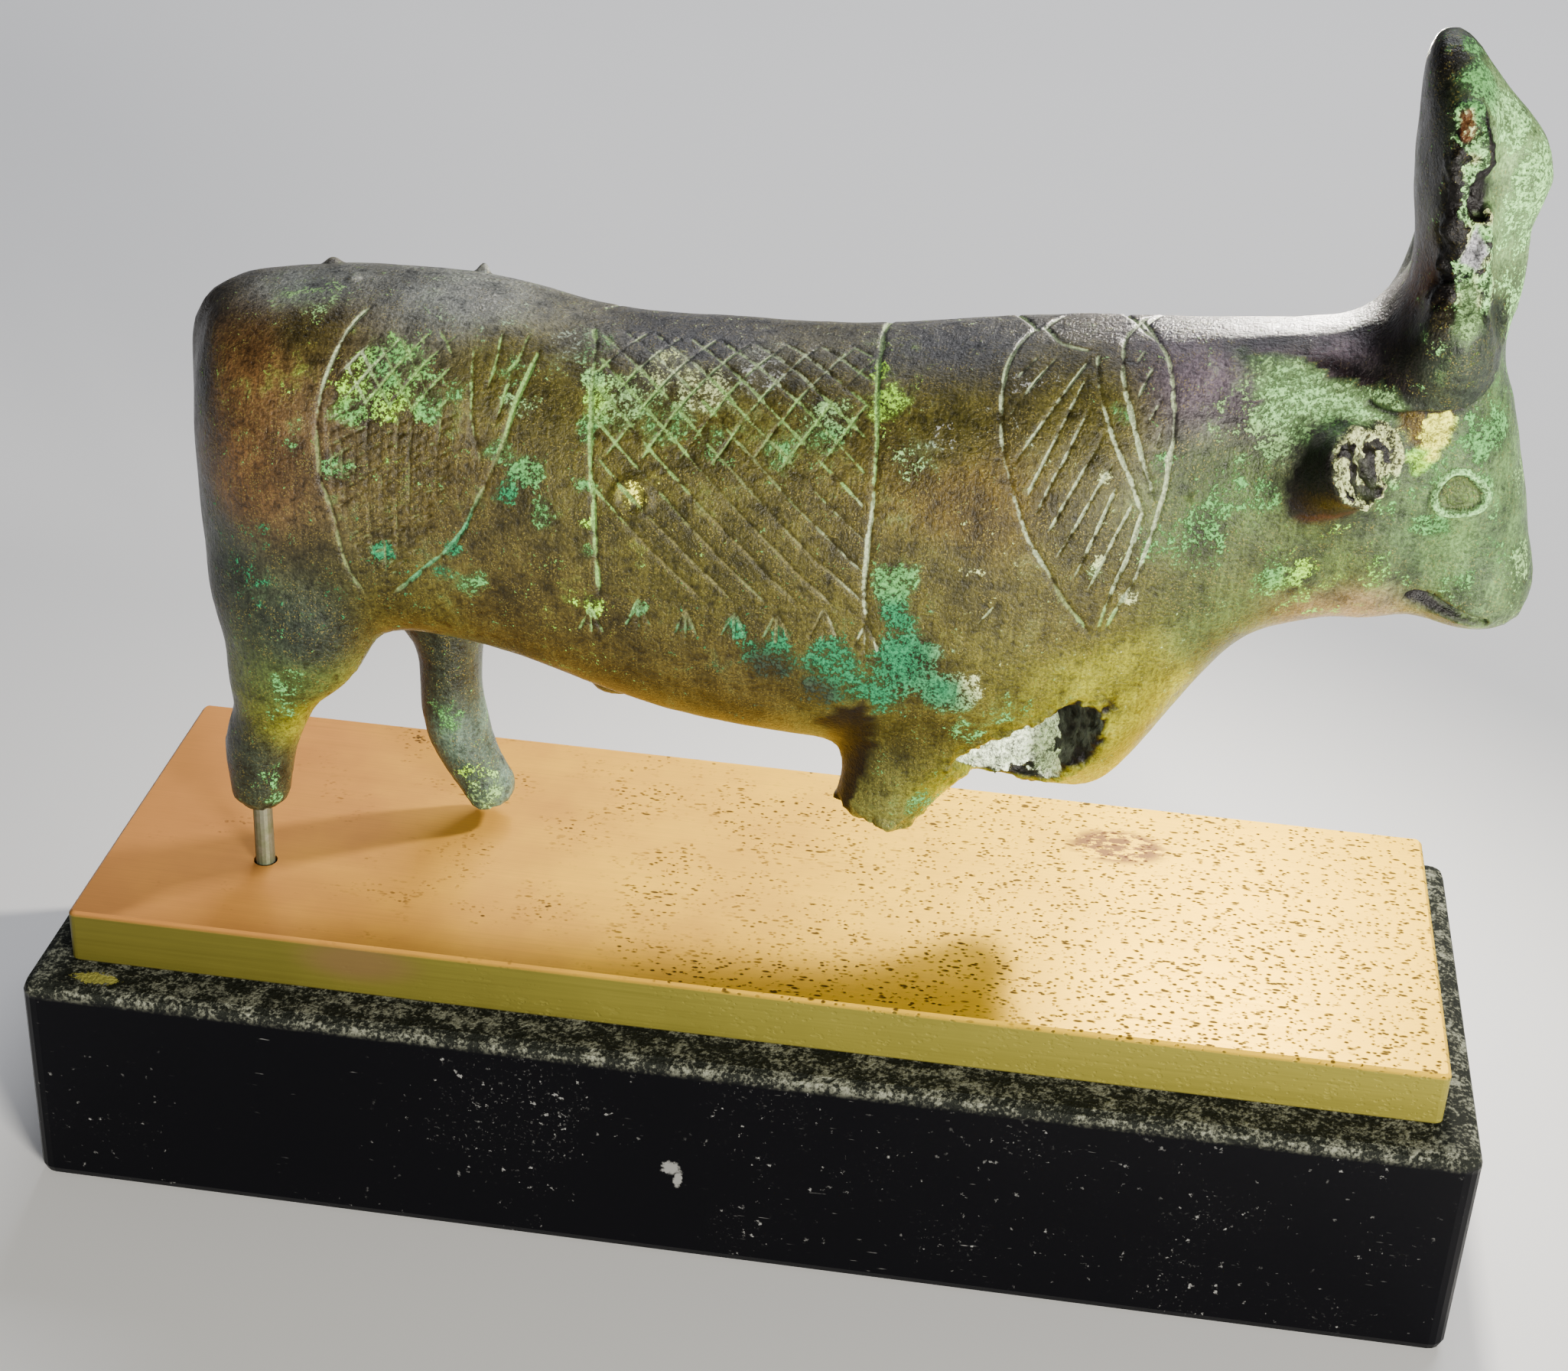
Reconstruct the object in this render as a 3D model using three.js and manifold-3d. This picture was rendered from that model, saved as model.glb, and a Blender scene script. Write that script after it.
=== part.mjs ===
// A small cast bronze bull, broken in places, held by one pin over a brass plate on a black block.
// Millimetres, +Z up, +X towards the bull's head. The origin is the middle of the block's underside.
import * as THREE from 'three';
import { mergeVertices } from 'three/addons/utils/BufferGeometryUtils.js';
import Module from 'manifold-3d';

const wasm = await Module();
wasm.setup();

// Mount: the block, the plate that lies on it and the pin that carries the bull
const blockHeight = 19.4;
const blockMarginEnds = 3;
const blockMarginSides = 4;
const blockEdgeRadius = 0.9;
const blockCorner = 1.4;
const plateLength = 110;
const plateWidth = 34.4;
const plateThickness = 4.8;
const plateEdgeBevel = 0.3;
const plateCorner = 0.6;
const pinRadius = 0.8;
const pinSides = 16;
const pinClearance = 0.2;
const pinDepthInLeg = 6;

// Figure: its length from rump to muzzle, how far it stands behind the plate's middle, and the gap below its hoof
const figureLength = 105;
const figureSetback = 1;
const footGap = 0.4;

// The bull's tables are drawn 105 units long, level with the lowest hoof, and one unit becomes this much
const unit = figureLength / 105;

const plateTop = blockHeight + plateThickness;

// Edges of the bull shorter than this are drawn together
const shortestEdge = 0.2;

// A smooth curve through (at, value) pairs, as a function of at
function through(pairs) {
  const last = pairs.length - 1;
  const slope = (i) => {
    const a = pairs[Math.max(i - 1, 0)];
    const b = pairs[Math.min(i + 1, last)];
    return (b[1] - a[1]) / (b[0] - a[0]);
  };
  return (at) => {
    const x = Math.min(Math.max(at, pairs[0][0]), pairs[last][0]);
    let i = 0;
    while (i < last - 1 && x > pairs[i + 1][0]) i += 1;
    const [x0, y0] = pairs[i];
    const [x1, y1] = pairs[i + 1];
    const t = (x - x0) / (x1 - x0);
    const rise = (3 - 2 * t) * t * t;
    const leave = t * (1 - t) * (1 - t) * (x1 - x0) * slope(i);
    const arrive = t * t * (t - 1) * (x1 - x0) * slope(i + 1);
    return y0 + (y1 - y0) * rise + leave + arrive;
  };
}

// The share of full size at a distance from a blunt, rounded end
function blunt(distance, reach, power) {
  if (distance >= reach) return 1;
  return (1 - (1 - Math.max(distance, 0) / reach) ** power) ** (1 / power);
}

// How far a rounded box of the given half sizes reaches in the direction of an angle
function reachAt(angle, half, height, power) {
  const across = Math.abs(Math.cos(angle)) / half;
  const up = Math.abs(Math.sin(angle)) / height;
  return (across ** power + up ** power) ** (-1 / power);
}

const ring = (sides, point) => Array.from({ length: sides }, (_, side) => point(2 * Math.PI * side / sides));

// Points and triangles as a solid, turned the right way out
function solid(points, faces) {
  const cross = new THREE.Vector3();
  const volume = faces.reduce((sum, [a, b, c]) => sum + cross.crossVectors(points[a], points[b]).dot(points[c]), 0);
  const turned = volume < 0 ? faces.map(([a, b, c]) => [a, c, b]) : faces;
  return new wasm.Manifold(new wasm.Mesh({
    numProp: 3,
    vertProperties: new Float32Array(points.flatMap((p) => p.toArray())),
    triVerts: new Uint32Array(turned.flat()),
  }));
}

// A closed skin over rings of points, with a fan at each end, as a solid
function skin(rings) {
  const sides = rings[0].length;
  const middle = (points) => points.reduce((sum, p) => sum.add(p), new THREE.Vector3()).divideScalar(sides);
  const points = rings.flat().concat([middle(rings[0]), middle(rings[rings.length - 1])]);
  const start = rings.length * sides;
  const faces = [];
  for (let side = 0; side < sides; side += 1) {
    const next = (side + 1) % sides;
    faces.push([start, next, side]);
    faces.push([start + 1, start - sides + side, start - sides + next]);
    for (let row = 0; row < rings.length - 1; row += 1) {
      const a = row * sides;
      const b = a + sides;
      faces.push([a + side, a + next, b + next], [a + side, b + next, b + side]);
    }
  }
  return solid(points, faces);
}

// A closed three.js geometry, moved to its place, as a solid
function fromGeometry(geometry, x, y, z) {
  const bare = geometry.index ? geometry.toNonIndexed() : geometry;
  bare.deleteAttribute('normal');
  bare.deleteAttribute('uv');
  const merged = mergeVertices(bare.translate(x, y, z), 1e-4);
  return new wasm.Manifold(new wasm.Mesh({
    numProp: 3,
    vertProperties: new Float32Array(merged.attributes.position.array),
    triVerts: new Uint32Array(merged.index.array),
  }));
}

function toGeometry(manifold) {
  const mesh = manifold.getMesh();
  const geometry = new THREE.BufferGeometry();
  geometry.setAttribute('position', new THREE.BufferAttribute(mesh.vertProperties, 3));
  geometry.setIndex(new THREE.BufferAttribute(mesh.triVerts, 1));
  return geometry;
}

// A solid's triangles with the short edges that cuts leave drawn together, wherever no face turns over by it
function drawnTogether(manifold, shortest) {
  const { vertProperties, triVerts } = manifold.getMesh();
  const points = Array.from({ length: vertProperties.length / 3 }, (_, i) => (
    new THREE.Vector3().fromArray(vertProperties, 3 * i)));
  const faces = Array.from({ length: triVerts.length / 3 }, (_, i) => Array.from(triVerts.slice(3 * i, 3 * i + 3)));
  const around = points.map(() => new Set());
  faces.forEach((face, i) => face.forEach((v) => around[v].add(i)));
  const cross = ([a, b, c]) => points[b].clone().sub(points[a]).cross(points[c].clone().sub(points[a]));
  const neighbours = (v) => new Set([...around[v]].flatMap((i) => faces[i]));
  const tiny = 1e-5;
  const draw = (from, to) => {
    const near = neighbours(to);
    if ([...neighbours(from)].filter((v) => near.has(v)).length !== 4) return false;
    const kept = [...around[from]].filter((i) => !faces[i].includes(to));
    const moved = kept.map((i) => faces[i].map((v) => (v === from ? to : v)));
    const steady = kept.every((i, n) => {
      const before = cross(faces[i]);
      const after = cross(moved[n]);
      if (before.length() < tiny) return true;
      return after.length() > tiny && after.normalize().dot(before.normalize()) > 0.8;
    });
    if (!steady) return false;
    [...around[from]].filter((i) => faces[i].includes(to)).forEach((i) => {
      faces[i].forEach((v) => around[v].delete(i));
      faces[i] = null;
    });
    kept.forEach((i, n) => {
      faces[i] = moved[n];
      around[to].add(i);
    });
    around[from].clear();
    return true;
  };
  let drawn = 1;
  while (drawn > 0) {
    drawn = 0;
    for (let i = 0; i < faces.length; i += 1) {
      for (let side = 0; side < 3 && faces[i]; side += 1) {
        const [a, b] = [faces[i][side], faces[i][(side + 1) % 3]];
        if (points[a].distanceTo(points[b]) < shortest && (draw(a, b) || draw(b, a))) drawn += 1;
      }
    }
  }
  const geometry = new THREE.BufferGeometry().setFromPoints(points);
  geometry.setIndex(faces.filter((face) => face).flat());
  return geometry;
}

// Trunk, neck and jaw, from rump to cheek: the top line, the bottom line, the half width,
// the height where it is widest, and how square the belly's section is
const trunkTop = through([[-47, 48.3], [-44, 48.6], [-39, 49.3], [-34, 49.9], [-28, 50.0], [-24, 49.9], [-20, 49.3],
  [-16, 48.5], [-12, 48.2], [-6, 48.3], [0, 48.5], [6, 49.0], [12, 49.9], [18, 50.9], [24, 51.6], [30, 52.3],
  [36, 53.0], [40, 53.8], [43, 55.2], [46, 56], [48, 53], [51, 48]]);
const trunkBottom = through([[-47, 22.8], [-40, 22.6], [-32, 22.3], [-26, 21.8], [-22, 21.2], [-17, 19.9],
  [-12, 18.4], [-7, 17.2], [-2, 16.6], [4, 16.4], [10, 15.6], [16, 14.4], [21, 13.3], [24.5, 12.9], [26.5, 13.9],
  [28.5, 16.6], [30.3, 19.6], [32.2, 23.0], [34, 26.0], [36, 28.2], [38, 29.4], [41, 30.2], [45, 30.4], [51, 30.8]]);
const trunkHalf = through([[-47, 10.4], [-44, 11.0], [-38, 11.7], [-30, 11.8], [-22, 11.5], [-12, 12.1], [0, 12.6],
  [8, 12.8], [16, 12.5], [22, 11.6], [27, 10.4], [32, 9.2], [38, 8.2], [44, 7.2], [51, 5.8]]);
const trunkWidest = through([[-47, 36], [-30, 36], [-10, 33], [5, 32.5], [16, 33], [24, 35], [32, 38], [40, 41],
  [51, 41]]);
const bellyPower = through([[-47, 2.6], [10, 2.4], [18, 2.2], [24, 1.9], [34, 1.9], [42, 2.2], [51, 2.2]]);
const backPower = 2.3;
const rumpX = -46.5;
const cheekX = 51;

// A point of the trunk's skin, at an angle from the far flank over the back
function trunkPoint(x, angle) {
  const back = Math.sin(angle) > 0;
  const tall = Math.max(blunt(x - rumpX, 4.5, 3.2) * blunt(cheekX - x, 7, 2), 0.01);
  const wide = Math.max(blunt(x - rumpX, 9, 2.2) * blunt(cheekX - x, 7, 2), 0.01);
  const height = back ? trunkTop(x) - trunkWidest(x) : trunkWidest(x) - trunkBottom(x);
  const reach = reachAt(angle, wide * trunkHalf(x), tall * height, back ? backPower : bellyPower(x));
  return new THREE.Vector3(x, reach * Math.cos(angle), trunkWidest(x) + reach * Math.sin(angle));
}

function trunk(sides, steps) {
  const rings = [];
  for (let step = 0; step <= steps; step += 1) {
    const crowded = (1 - Math.cos(Math.PI * step / steps)) / 2;
    const x = rumpX + (cheekX - rumpX) * (0.25 * crowded + 0.75 * step / steps);
    rings.push(ring(sides, (angle) => trunkPoint(x, angle)));
  }
  return skin(rings);
}

// Face and crown: level rings, each station a height, a rear, a front and a half width
function upright(stations, sides, steps, power, bow) {
  const rear = through(stations.map(([z, value]) => [z, value]));
  const front = through(stations.map(([z, , value]) => [z, value]));
  const half = through(stations.map(([z, , , value]) => [z, value]));
  const low = stations[0][0];
  const high = stations[stations.length - 1][0];
  const rings = [];
  for (let step = 0; step <= steps; step += 1) {
    const z = low + (high - low) * (0.2 * (1 - Math.cos(Math.PI * step / steps)) + 0.6 * step / steps);
    rings.push(ring(sides, (angle) => {
      const reach = reachAt(angle, (front(z) - rear(z)) / 2, half(z), power);
      const side = reach * Math.sin(angle);
      const forward = bow * (side / 8) ** 2;
      return new THREE.Vector3((rear(z) + front(z)) / 2 + reach * Math.cos(angle) + forward, side, z);
    }));
  }
  return skin(rings);
}

const face = [[31.0, 50.0, 53.6, 1.5], [31.4, 48.4, 54.9, 3.6], [32.4, 46.8, 55.9, 4.8], [34.2, 45.4, 56.4, 5.3],
  [36, 44.4, 56.2, 5.5], [38.5, 43.5, 55.4, 5.8], [41, 43, 54.7, 6.3], [44, 42, 54.0, 6.9], [47, 41, 53.1, 7.1],
  [50, 40, 51.9, 7.0], [53, 40.5, 50.8, 6.2], [56, 43, 50, 4.5]];
const crown = [[51, 42.4, 49.8, 5.2], [55, 43.2, 50.2, 5.0], [58, 43.8, 49.2, 5.8], [61, 43.4, 48.2, 7.0],
  [64, 42.8, 47.6, 7.9], [67, 42.5, 47.3, 8.0], [70, 42.4, 46.9, 7.2], [72.4, 42.2, 46.4, 5.6],
  [74, 42.3, 45.8, 3.9], [74.9, 42.7, 45.2, 2.2], [75.3, 43.2, 44.6, 0.8]];

// Limbs, horns, serpent, tail and grooves: rings square to a curved path, each station a point and its reach
// fore and aft, then aside
function limb(stations, sides, steps) {
  const path = new THREE.CatmullRomCurve3(stations.map(([x, y, z]) => new THREE.Vector3(x, y, z)), false, 'centripetal');
  const fore = through(stations.map((s, i) => [i / (stations.length - 1), s[3]]));
  const aside = through(stations.map((s, i) => [i / (stations.length - 1), s[4]]));
  const rings = [];
  for (let step = 0; step <= steps; step += 1) {
    const t = step / steps;
    const centre = path.getPoint(t);
    const tangent = path.getTangent(t);
    const ahead = new THREE.Vector3(0, 1, 0).cross(tangent).normalize();
    const out = tangent.clone().cross(ahead);
    rings.push(ring(sides, (angle) => centre.clone()
      .addScaledVector(ahead, fore(t) * Math.cos(angle))
      .addScaledVector(out, aside(t) * Math.sin(angle))));
  }
  return skin(rings);
}

const nearHindLeg = [[-41.8, -5.6, 5.3, 1.6, 1.6], [-41.8, -5.6, 6.1, 2.3, 2.2], [-41.7, -5.7, 8.4, 2.8, 2.6],
  [-41.4, -5.8, 11.5, 3.1, 2.9], [-40.4, -6.0, 14.5, 3.1, 3.2], [-39.6, -6.3, 18, 4.3, 3.8],
  [-38.2, -6.6, 21.6, 6.0, 4.4], [-37.4, -6.4, 27, 7.3, 5.1], [-37.4, -5, 36, 6.4, 4.5]];
const farHindLeg = [[-24.7, 5.6, 0.9, 2.2, 2.2], [-25.4, 5.6, 2.4, 2.4, 2.4], [-26.9, 5.6, 5, 2.6, 2.6],
  [-28.2, 5.7, 8.4, 2.9, 2.7], [-28.6, 5.8, 12, 2.7, 2.8], [-28.8, 6, 16, 3.1, 3.2], [-30, 6.4, 20.5, 5, 4.2],
  [-32, 6.4, 27, 7.6, 5.2], [-33, 5, 35, 6.6, 4.5]];
const nearForeleg = [[9.0, -6.2, 11.9, 3.2, 2.6], [9.6, -6.2, 13.5, 3.5, 2.9], [10.4, -6.2, 15.6, 4.0, 3.3],
  [11.8, -6.1, 19, 5.2, 4.0], [13.5, -6, 24, 6.4, 4.8], [15, -5, 32, 6, 4]];
const farForeleg = [[23.6, 5.2, 12.3, 2.6, 2.6], [22.8, 5.4, 15, 3.5, 3.1], [21.2, 5.4, 19, 4.6, 3.9],
  [19.5, 5.2, 25, 5.8, 4.6], [18, 4.5, 33, 5.5, 4]];
const serpent = [[48.2, 0, 52.5, 2.4, 2.6], [49.2, 0, 56.5, 2.5, 2.2], [49.3, 0, 59.5, 2.4, 2.1],
  [49.1, 0, 62.3, 2.4, 2.4], [49.6, 0, 64.6, 2.7, 2.9], [49.4, 0, 66.6, 2.6, 3.0], [48.5, 0, 68.4, 2.2, 2.6],
  [47.3, 0, 70.2, 1.7, 2.1], [46.1, 0, 72.2, 1.3, 1.7], [45.1, 0, 73.8, 0.9, 1.2]];
const farHorn = [[45.6, 3, 51.8, 3.4, 3.6], [46.2, 5.6, 53.4, 3.2, 3.2], [46.6, 7.4, 57, 2.5, 2.4],
  [46.6, 8.3, 61, 2.2, 2.1], [46.3, 8.1, 65.5, 1.9, 1.8], [45.8, 7.0, 69.5, 1.5, 1.4], [45.0, 5.2, 72.2, 0.8, 0.8]];
const nearHorn = [[44.4, -2.5, 52.8, 4.9, 3.8], [44.8, -5.2, 53.6, 4.7, 3.5], [45.4, -6.8, 55.4, 3.4, 2.9],
  [46.2, -7.2, 58.4, 2.2, 2.0]];
const nearEar = [[38.4, -4.4, 44.8, 3.4, 3.6], [39.9, -7.2, 45.6, 3.0, 3.5], [41.6, -10.0, 46.4, 2.4, 3.3]];
const tail = [[-44.0, 0, 47.4, 1.4, 1.9], [-45.8, 0, 44.8, 1.3, 1.6], [-46.2, 0, 38, 1.0, 1.3],
  [-45.9, 0.3, 28, 0.9, 1.2], [-45.3, 0.8, 20, 1.2, 1.6], [-44.8, 1.0, 15.5, 0.5, 0.6]];
const sheath = [[-15.5, 0, 18.6, 1.6, 1.6], [-13.4, 0, 17.2, 1.6, 1.7], [-11.6, 0, 16.8, 1.0, 1.1]];

function mirrored(stations) {
  return stations.map(([x, y, ...rest]) => [x, -y, ...rest]);
}

// Flat oval rings facing the near side, each station a y, a half length and a half height, round (x, z)
function boss(x, z, stations, sides) {
  return skin(stations.map(([y, long, tall]) => ring(sides, (angle) => (
    new THREE.Vector3(x + long * Math.cos(angle), y, z + tall * Math.sin(angle))))));
}

// The hollow broken into the lower chest, and the cavity in the broken edge of the crown
const chestHollow = [[14.4, -9.0, 17.0, 0.4, 0.6], [17, -8.6, 17.8, 1.9, 2.6], [20, -8.0, 19, 3.2, 3.8],
  [23, -7.8, 20.6, 3.4, 3.8], [25, -8.2, 22.0, 2.0, 2.4], [25.8, -8.4, 22.8, 0.5, 0.6]];
const crownHollow = [[46.0, -6.4, 63.2, 0.3, 0.4], [46.4, -6.6, 64.4, 0.9, 1.6], [46.9, -6.6, 66.2, 0.8, 1.5],
  [47.2, -6.4, 67.6, 0.3, 0.4]];
const eyeX = 49;
const eyeZ = 43.7;

// The crown's near edge is broken off along a rough face
function crownBreak() {
  const rings = [];
  const low = 58.2;
  const high = 76;
  const steps = 12;
  for (let step = 0; step <= steps; step += 1) {
    const z = low + (high - low) * step / steps;
    const rough = 0.22 * Math.sin(2.1 * step) + 0.16 * Math.sin(4.7 * step + 1);
    const near = 6.3 - 1.9 * Math.max(0, (z - 68.5) / 7.5) + rough;
    rings.push([[40, 14], [40, near - 0.5], [45, near], [47, near + 0.3], [53, near + 1.6], [53, 14]]
      .map(([x, y]) => new THREE.Vector3(x, -y, z)));
  }
  return skin(rings);
}

// A point of the flank: how far down from the spine it lies, measured over the skin, on the far side where negative
function flank(x, down) {
  const stride = Math.PI / 90;
  let angle = Math.PI / 2;
  let point = trunkPoint(x, angle);
  let left = Math.abs(down);
  for (;;) {
    const next = trunkPoint(x, angle - stride);
    const length = next.distanceTo(point);
    if (length >= left) break;
    left -= length;
    angle -= stride;
    point = next;
  }
  const end = trunkPoint(x, angle - stride);
  point = point.lerp(end, left / end.distanceTo(point));
  return down > 0 ? point.setY(-point.y) : point;
}

// A V-shaped cutter along points and the outward directions at them, fading at both ends
function groove(points, outward, width, depth) {
  const rise = 0.5;
  const last = points.length - 1;
  return skin(points.map((point, i) => {
    const along = points[Math.min(i + 1, last)].clone().sub(points[Math.max(i - 1, 0)]);
    const across = along.cross(outward[i]).normalize();
    const fade = i === 0 || i === last ? 0.35 : 1;
    const half = fade * width / 2 * (depth + rise) / depth;
    const top = point.clone().addScaledVector(outward[i], rise);
    return [top.clone().addScaledVector(across, half), top.clone().addScaledVector(across, -half),
      point.clone().addScaledVector(outward[i], -fade * depth)];
  }));
}

// An engraved line through (x, way down from the spine) pairs
function engraved(line, width) {
  const path = new THREE.CatmullRomCurve3(line.map(([x, down]) => new THREE.Vector3(x, down, 0)), false, 'centripetal');
  const places = path.getSpacedPoints(Math.max(Math.ceil(path.getLength() / strokeStep), 2));
  const points = places.map(({ x, y }) => flank(x, y));
  const outward = places.map(({ x, y }) => {
    const small = 0.3;
    const along = flank(x + small, y).sub(flank(x - small, y));
    return along.cross(flank(x, y + small).sub(flank(x, y - small))).normalize().negate();
  });
  return groove(points, outward, width, strokeDepth);
}

const strokeStep = 4;
const strokeDepth = 0.4;
const outlineWidth = 0.6;
const featherWidth = 0.45;

// Outlines of the wing on the shoulder and the wing on the haunch
const wingOutlines = [
  [[18.1, 0.7], [16.4, 3], [15.6, 7.4], [16, 10.9], [17.6, 15.9], [20.2, 20.8], [21.9, 23.5], [24, 26.2]],
  [[18.4, 0.6], [19.6, 2.8], [22, 3.7]],
  [[22.2, 3.8], [22.9, 8.2], [24.5, 12], [26.7, 16.3], [25.6, 20.3], [24.6, 23.6]],
  [[24.6, 0.6], [24.1, 3.4], [25, 9], [26.3, 12.6], [27.2, 15.6]],
  [[25.2, 0.7], [26.6, 2.6], [27.8, 7.2], [28.1, 12], [27.6, 16.5], [26.5, 21.5], [24.7, 25.9]],
  [[-31.6, 3.4], [-33.4, 9], [-34.2, 13.6], [-33.7, 18.7], [-32.4, 24], [-30.8, 28.4]],
  [[-18.8, 3.5], [-19, 8], [-20.4, 14.4], [-22.3, 19.4], [-25.6, 24.7], [-28.6, 28]],
];

// Feathers: where each starts and ends, first those of the shoulder, then those of the haunch
const feathers = [
  [[18.2, 3.7], [16.6, 6.3]], [[19.5, 4], [16.4, 9.6]], [[21.6, 4.4], [17.2, 13.1]], [[21.8, 6.3], [18.2, 15.2]],
  [[22.4, 8.5], [19, 16.8]], [[23.6, 10.2], [19.9, 18.6]], [[24.5, 12.4], [20.9, 20.2]], [[25, 14.2], [22.1, 21.6]],
  [[25.8, 15.6], [23.2, 22.8]], [[26.3, 4.6], [25.1, 8]], [[27.2, 7.4], [26, 10.4]], [[27.6, 10.6], [26.9, 13.4]],
  [[-32, 13.2], [-33.2, 17.6]], [[-30.4, 13], [-32.2, 21.4]], [[-28.8, 13.2], [-30.9, 23.6]],
  [[-27.2, 13], [-29.2, 25]], [[-25.4, 13], [-27.6, 24.6]], [[-23.7, 13], [-25.3, 22.6]], [[-23, 7], [-22.3, 16]],
];

// The saddle cloth: its borders run over the back and down both flanks, its hem along the flank
const clothRear = -14.4;
const clothFront = 6.5;
const clothDrop = 24;
const clothBorders = [
  [-1, -0.45, 0, 0.45, 1].map((t) => [clothRear + 1.7 * t * t, clothDrop * t]),
  [-1, -0.45, 0, 0.45, 1].map((t) => [clothFront + t * t, clothDrop * t]),
];
const clothHem = [[clothRear + 1.7, clothDrop], [-4, clothDrop], [clothFront + 1, clothDrop - 0.3]];

// Net on the cloth: lines down and forward over all of it, and lines down and back over its upper half
function clothNet() {
  const inside = (x, down) => x > clothRear + 1 && x < clothFront + 0.3 && down > 1.5 && down < clothDrop - 0.6;
  const slanted = (start, slope, from, to) => {
    const line = [];
    for (let down = from; down <= to; down += 0.5) {
      const x = start + (down - 4) / slope;
      if (inside(x, down)) line.push([x, down]);
    }
    return line.length < 6 ? [] : [[line[0], line[line.length - 1]]];
  };
  const forward = Array.from({ length: 9 }, (_, i) => slanted(-24 + 3.4 * i, 0.95, 2, clothDrop));
  const back = Array.from({ length: 5 }, (_, i) => slanted(-10 + 4 * i, -1.7, 2, 13));
  return [...forward, ...back].flat();
}

function bullForm() {
  const forms = [
    upright(face, 20, 13, 2.4, 0), upright(crown, 20, 12, 2.3, 1.6),
    limb(nearHindLeg, 14, 12), limb(farHindLeg, 14, 12), limb(nearForeleg, 14, 6), limb(farForeleg, 12, 5),
    limb(serpent, 10, 12), limb(farHorn, 10, 10), limb(nearHorn, 14, 5),
    limb(nearEar, 14, 3), limb(mirrored(nearEar), 14, 3), limb(tail, 8, 12), limb(sheath, 8, 4),
  ];
  [-1, 1].forEach((side) => {
    forms.push(boss(eyeX, eyeZ, [[4.4 * side, 2.3, 2.1], [6.95 * side, 2.1, 2.0]], 12));
  });
  const far = (line) => line.map(([x, down]) => [x, -down]);
  const cuts = [
    crownBreak(), limb(chestHollow, 12, 7), limb(crownHollow, 8, 4),
    ...[...wingOutlines, clothHem].flatMap((line) => [engraved(line, outlineWidth), engraved(far(line), outlineWidth)]),
    ...clothBorders.map((line) => engraved(line, outlineWidth)),
    ...[...feathers, ...clothNet()].map((line) => engraved(line, featherWidth)),
  ];
  [-1, 1].forEach((side) => {
    cuts.push(boss(eyeX, eyeZ, [[6.3 * side, 1.2, 1.1], [7.6 * side, 1.7, 1.6]], 12));
    const lips = [[47.2, 4.4, 34.5], [48.4, 4.8, 34], [50.4, 5.0, 33.2], [52.6, 4.7, 32.9], [54.4, 3.5, 32.8]];
    const points = lips.map(([x, y, z]) => new THREE.Vector3(x, y * side, z));
    cuts.push(groove(points, points.map(() => new THREE.Vector3(0.25, 0.85 * side, -0.46).normalize()), 0.9, 0.8));
  });
  const whole = forms.reduce((bull, form) => bull.add(form), trunk(26, 34));
  return cuts.reduce((bull, cut) => bull.subtract(cut), whole);
}

// The bull at its real size, on a pin in its near hind leg
const hoof = nearHindLeg[0];
const pinX = hoof[0] * unit;
const pinY = hoof[1] * unit;
const pinTop = hoof[2] * unit + pinDepthInLeg;

function pinCylinder(radius, low, high) {
  const geometry = new THREE.CylinderGeometry(radius, radius, high - low, pinSides);
  return geometry.rotateX(Math.PI / 2).translate(0, 0, (low + high) / 2);
}

function bullSolid() {
  const drawn = bullForm().getMesh();
  const points = drawn.vertProperties.map((value) => value * unit);
  const real = new wasm.Manifold(new wasm.Mesh({ numProp: 3, vertProperties: points, triVerts: drawn.triVerts }));
  const hole = pinCylinder(pinRadius + pinClearance, -footGap, pinTop);
  return real.subtract(fromGeometry(hole, pinX, pinY, 0));
}

// A slab with its corners rounded in plan and its edges rounded or bevelled, standing on z = 0
function slab(length, width, height, corner, edge, curveSegments, bevelSegments) {
  const x = length / 2 - corner;
  const y = width / 2 - corner;
  const outline = new THREE.Shape();
  [[x, y], [-x, y], [-x, -y], [x, -y]].forEach(([cx, cy], turn) => {
    outline.absarc(cx, cy, corner, turn * Math.PI / 2, (turn + 1) * Math.PI / 2);
  });
  const geometry = new THREE.ExtrudeGeometry(outline, {
    depth: height - 2 * edge, bevelThickness: edge, bevelSize: edge, bevelOffset: -edge, bevelSegments, curveSegments,
  });
  return geometry.translate(0, 0, edge);
}

function plateSolid() {
  const blank = slab(plateLength, plateWidth, plateThickness, plateCorner, plateEdgeBevel, 2, 1);
  const hole = pinCylinder(pinRadius + pinClearance, -1, plateThickness + 1);
  return fromGeometry(blank, 0, 0, 0).subtract(fromGeometry(hole, pinX, pinY - figureSetback, 0));
}

const bronze = new THREE.MeshStandardMaterial({ color: 0x4a4a26, roughness: 0.55, metalness: 0.7 });
const brass = new THREE.MeshStandardMaterial({ color: 0xc9924a, roughness: 0.3, metalness: 1 });
const blackLacquer = new THREE.MeshStandardMaterial({ color: 0x08080b, roughness: 0.3, metalness: 0 });
const steel = new THREE.MeshStandardMaterial({ color: 0x6d6f5c, roughness: 0.4, metalness: 1 });

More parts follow.
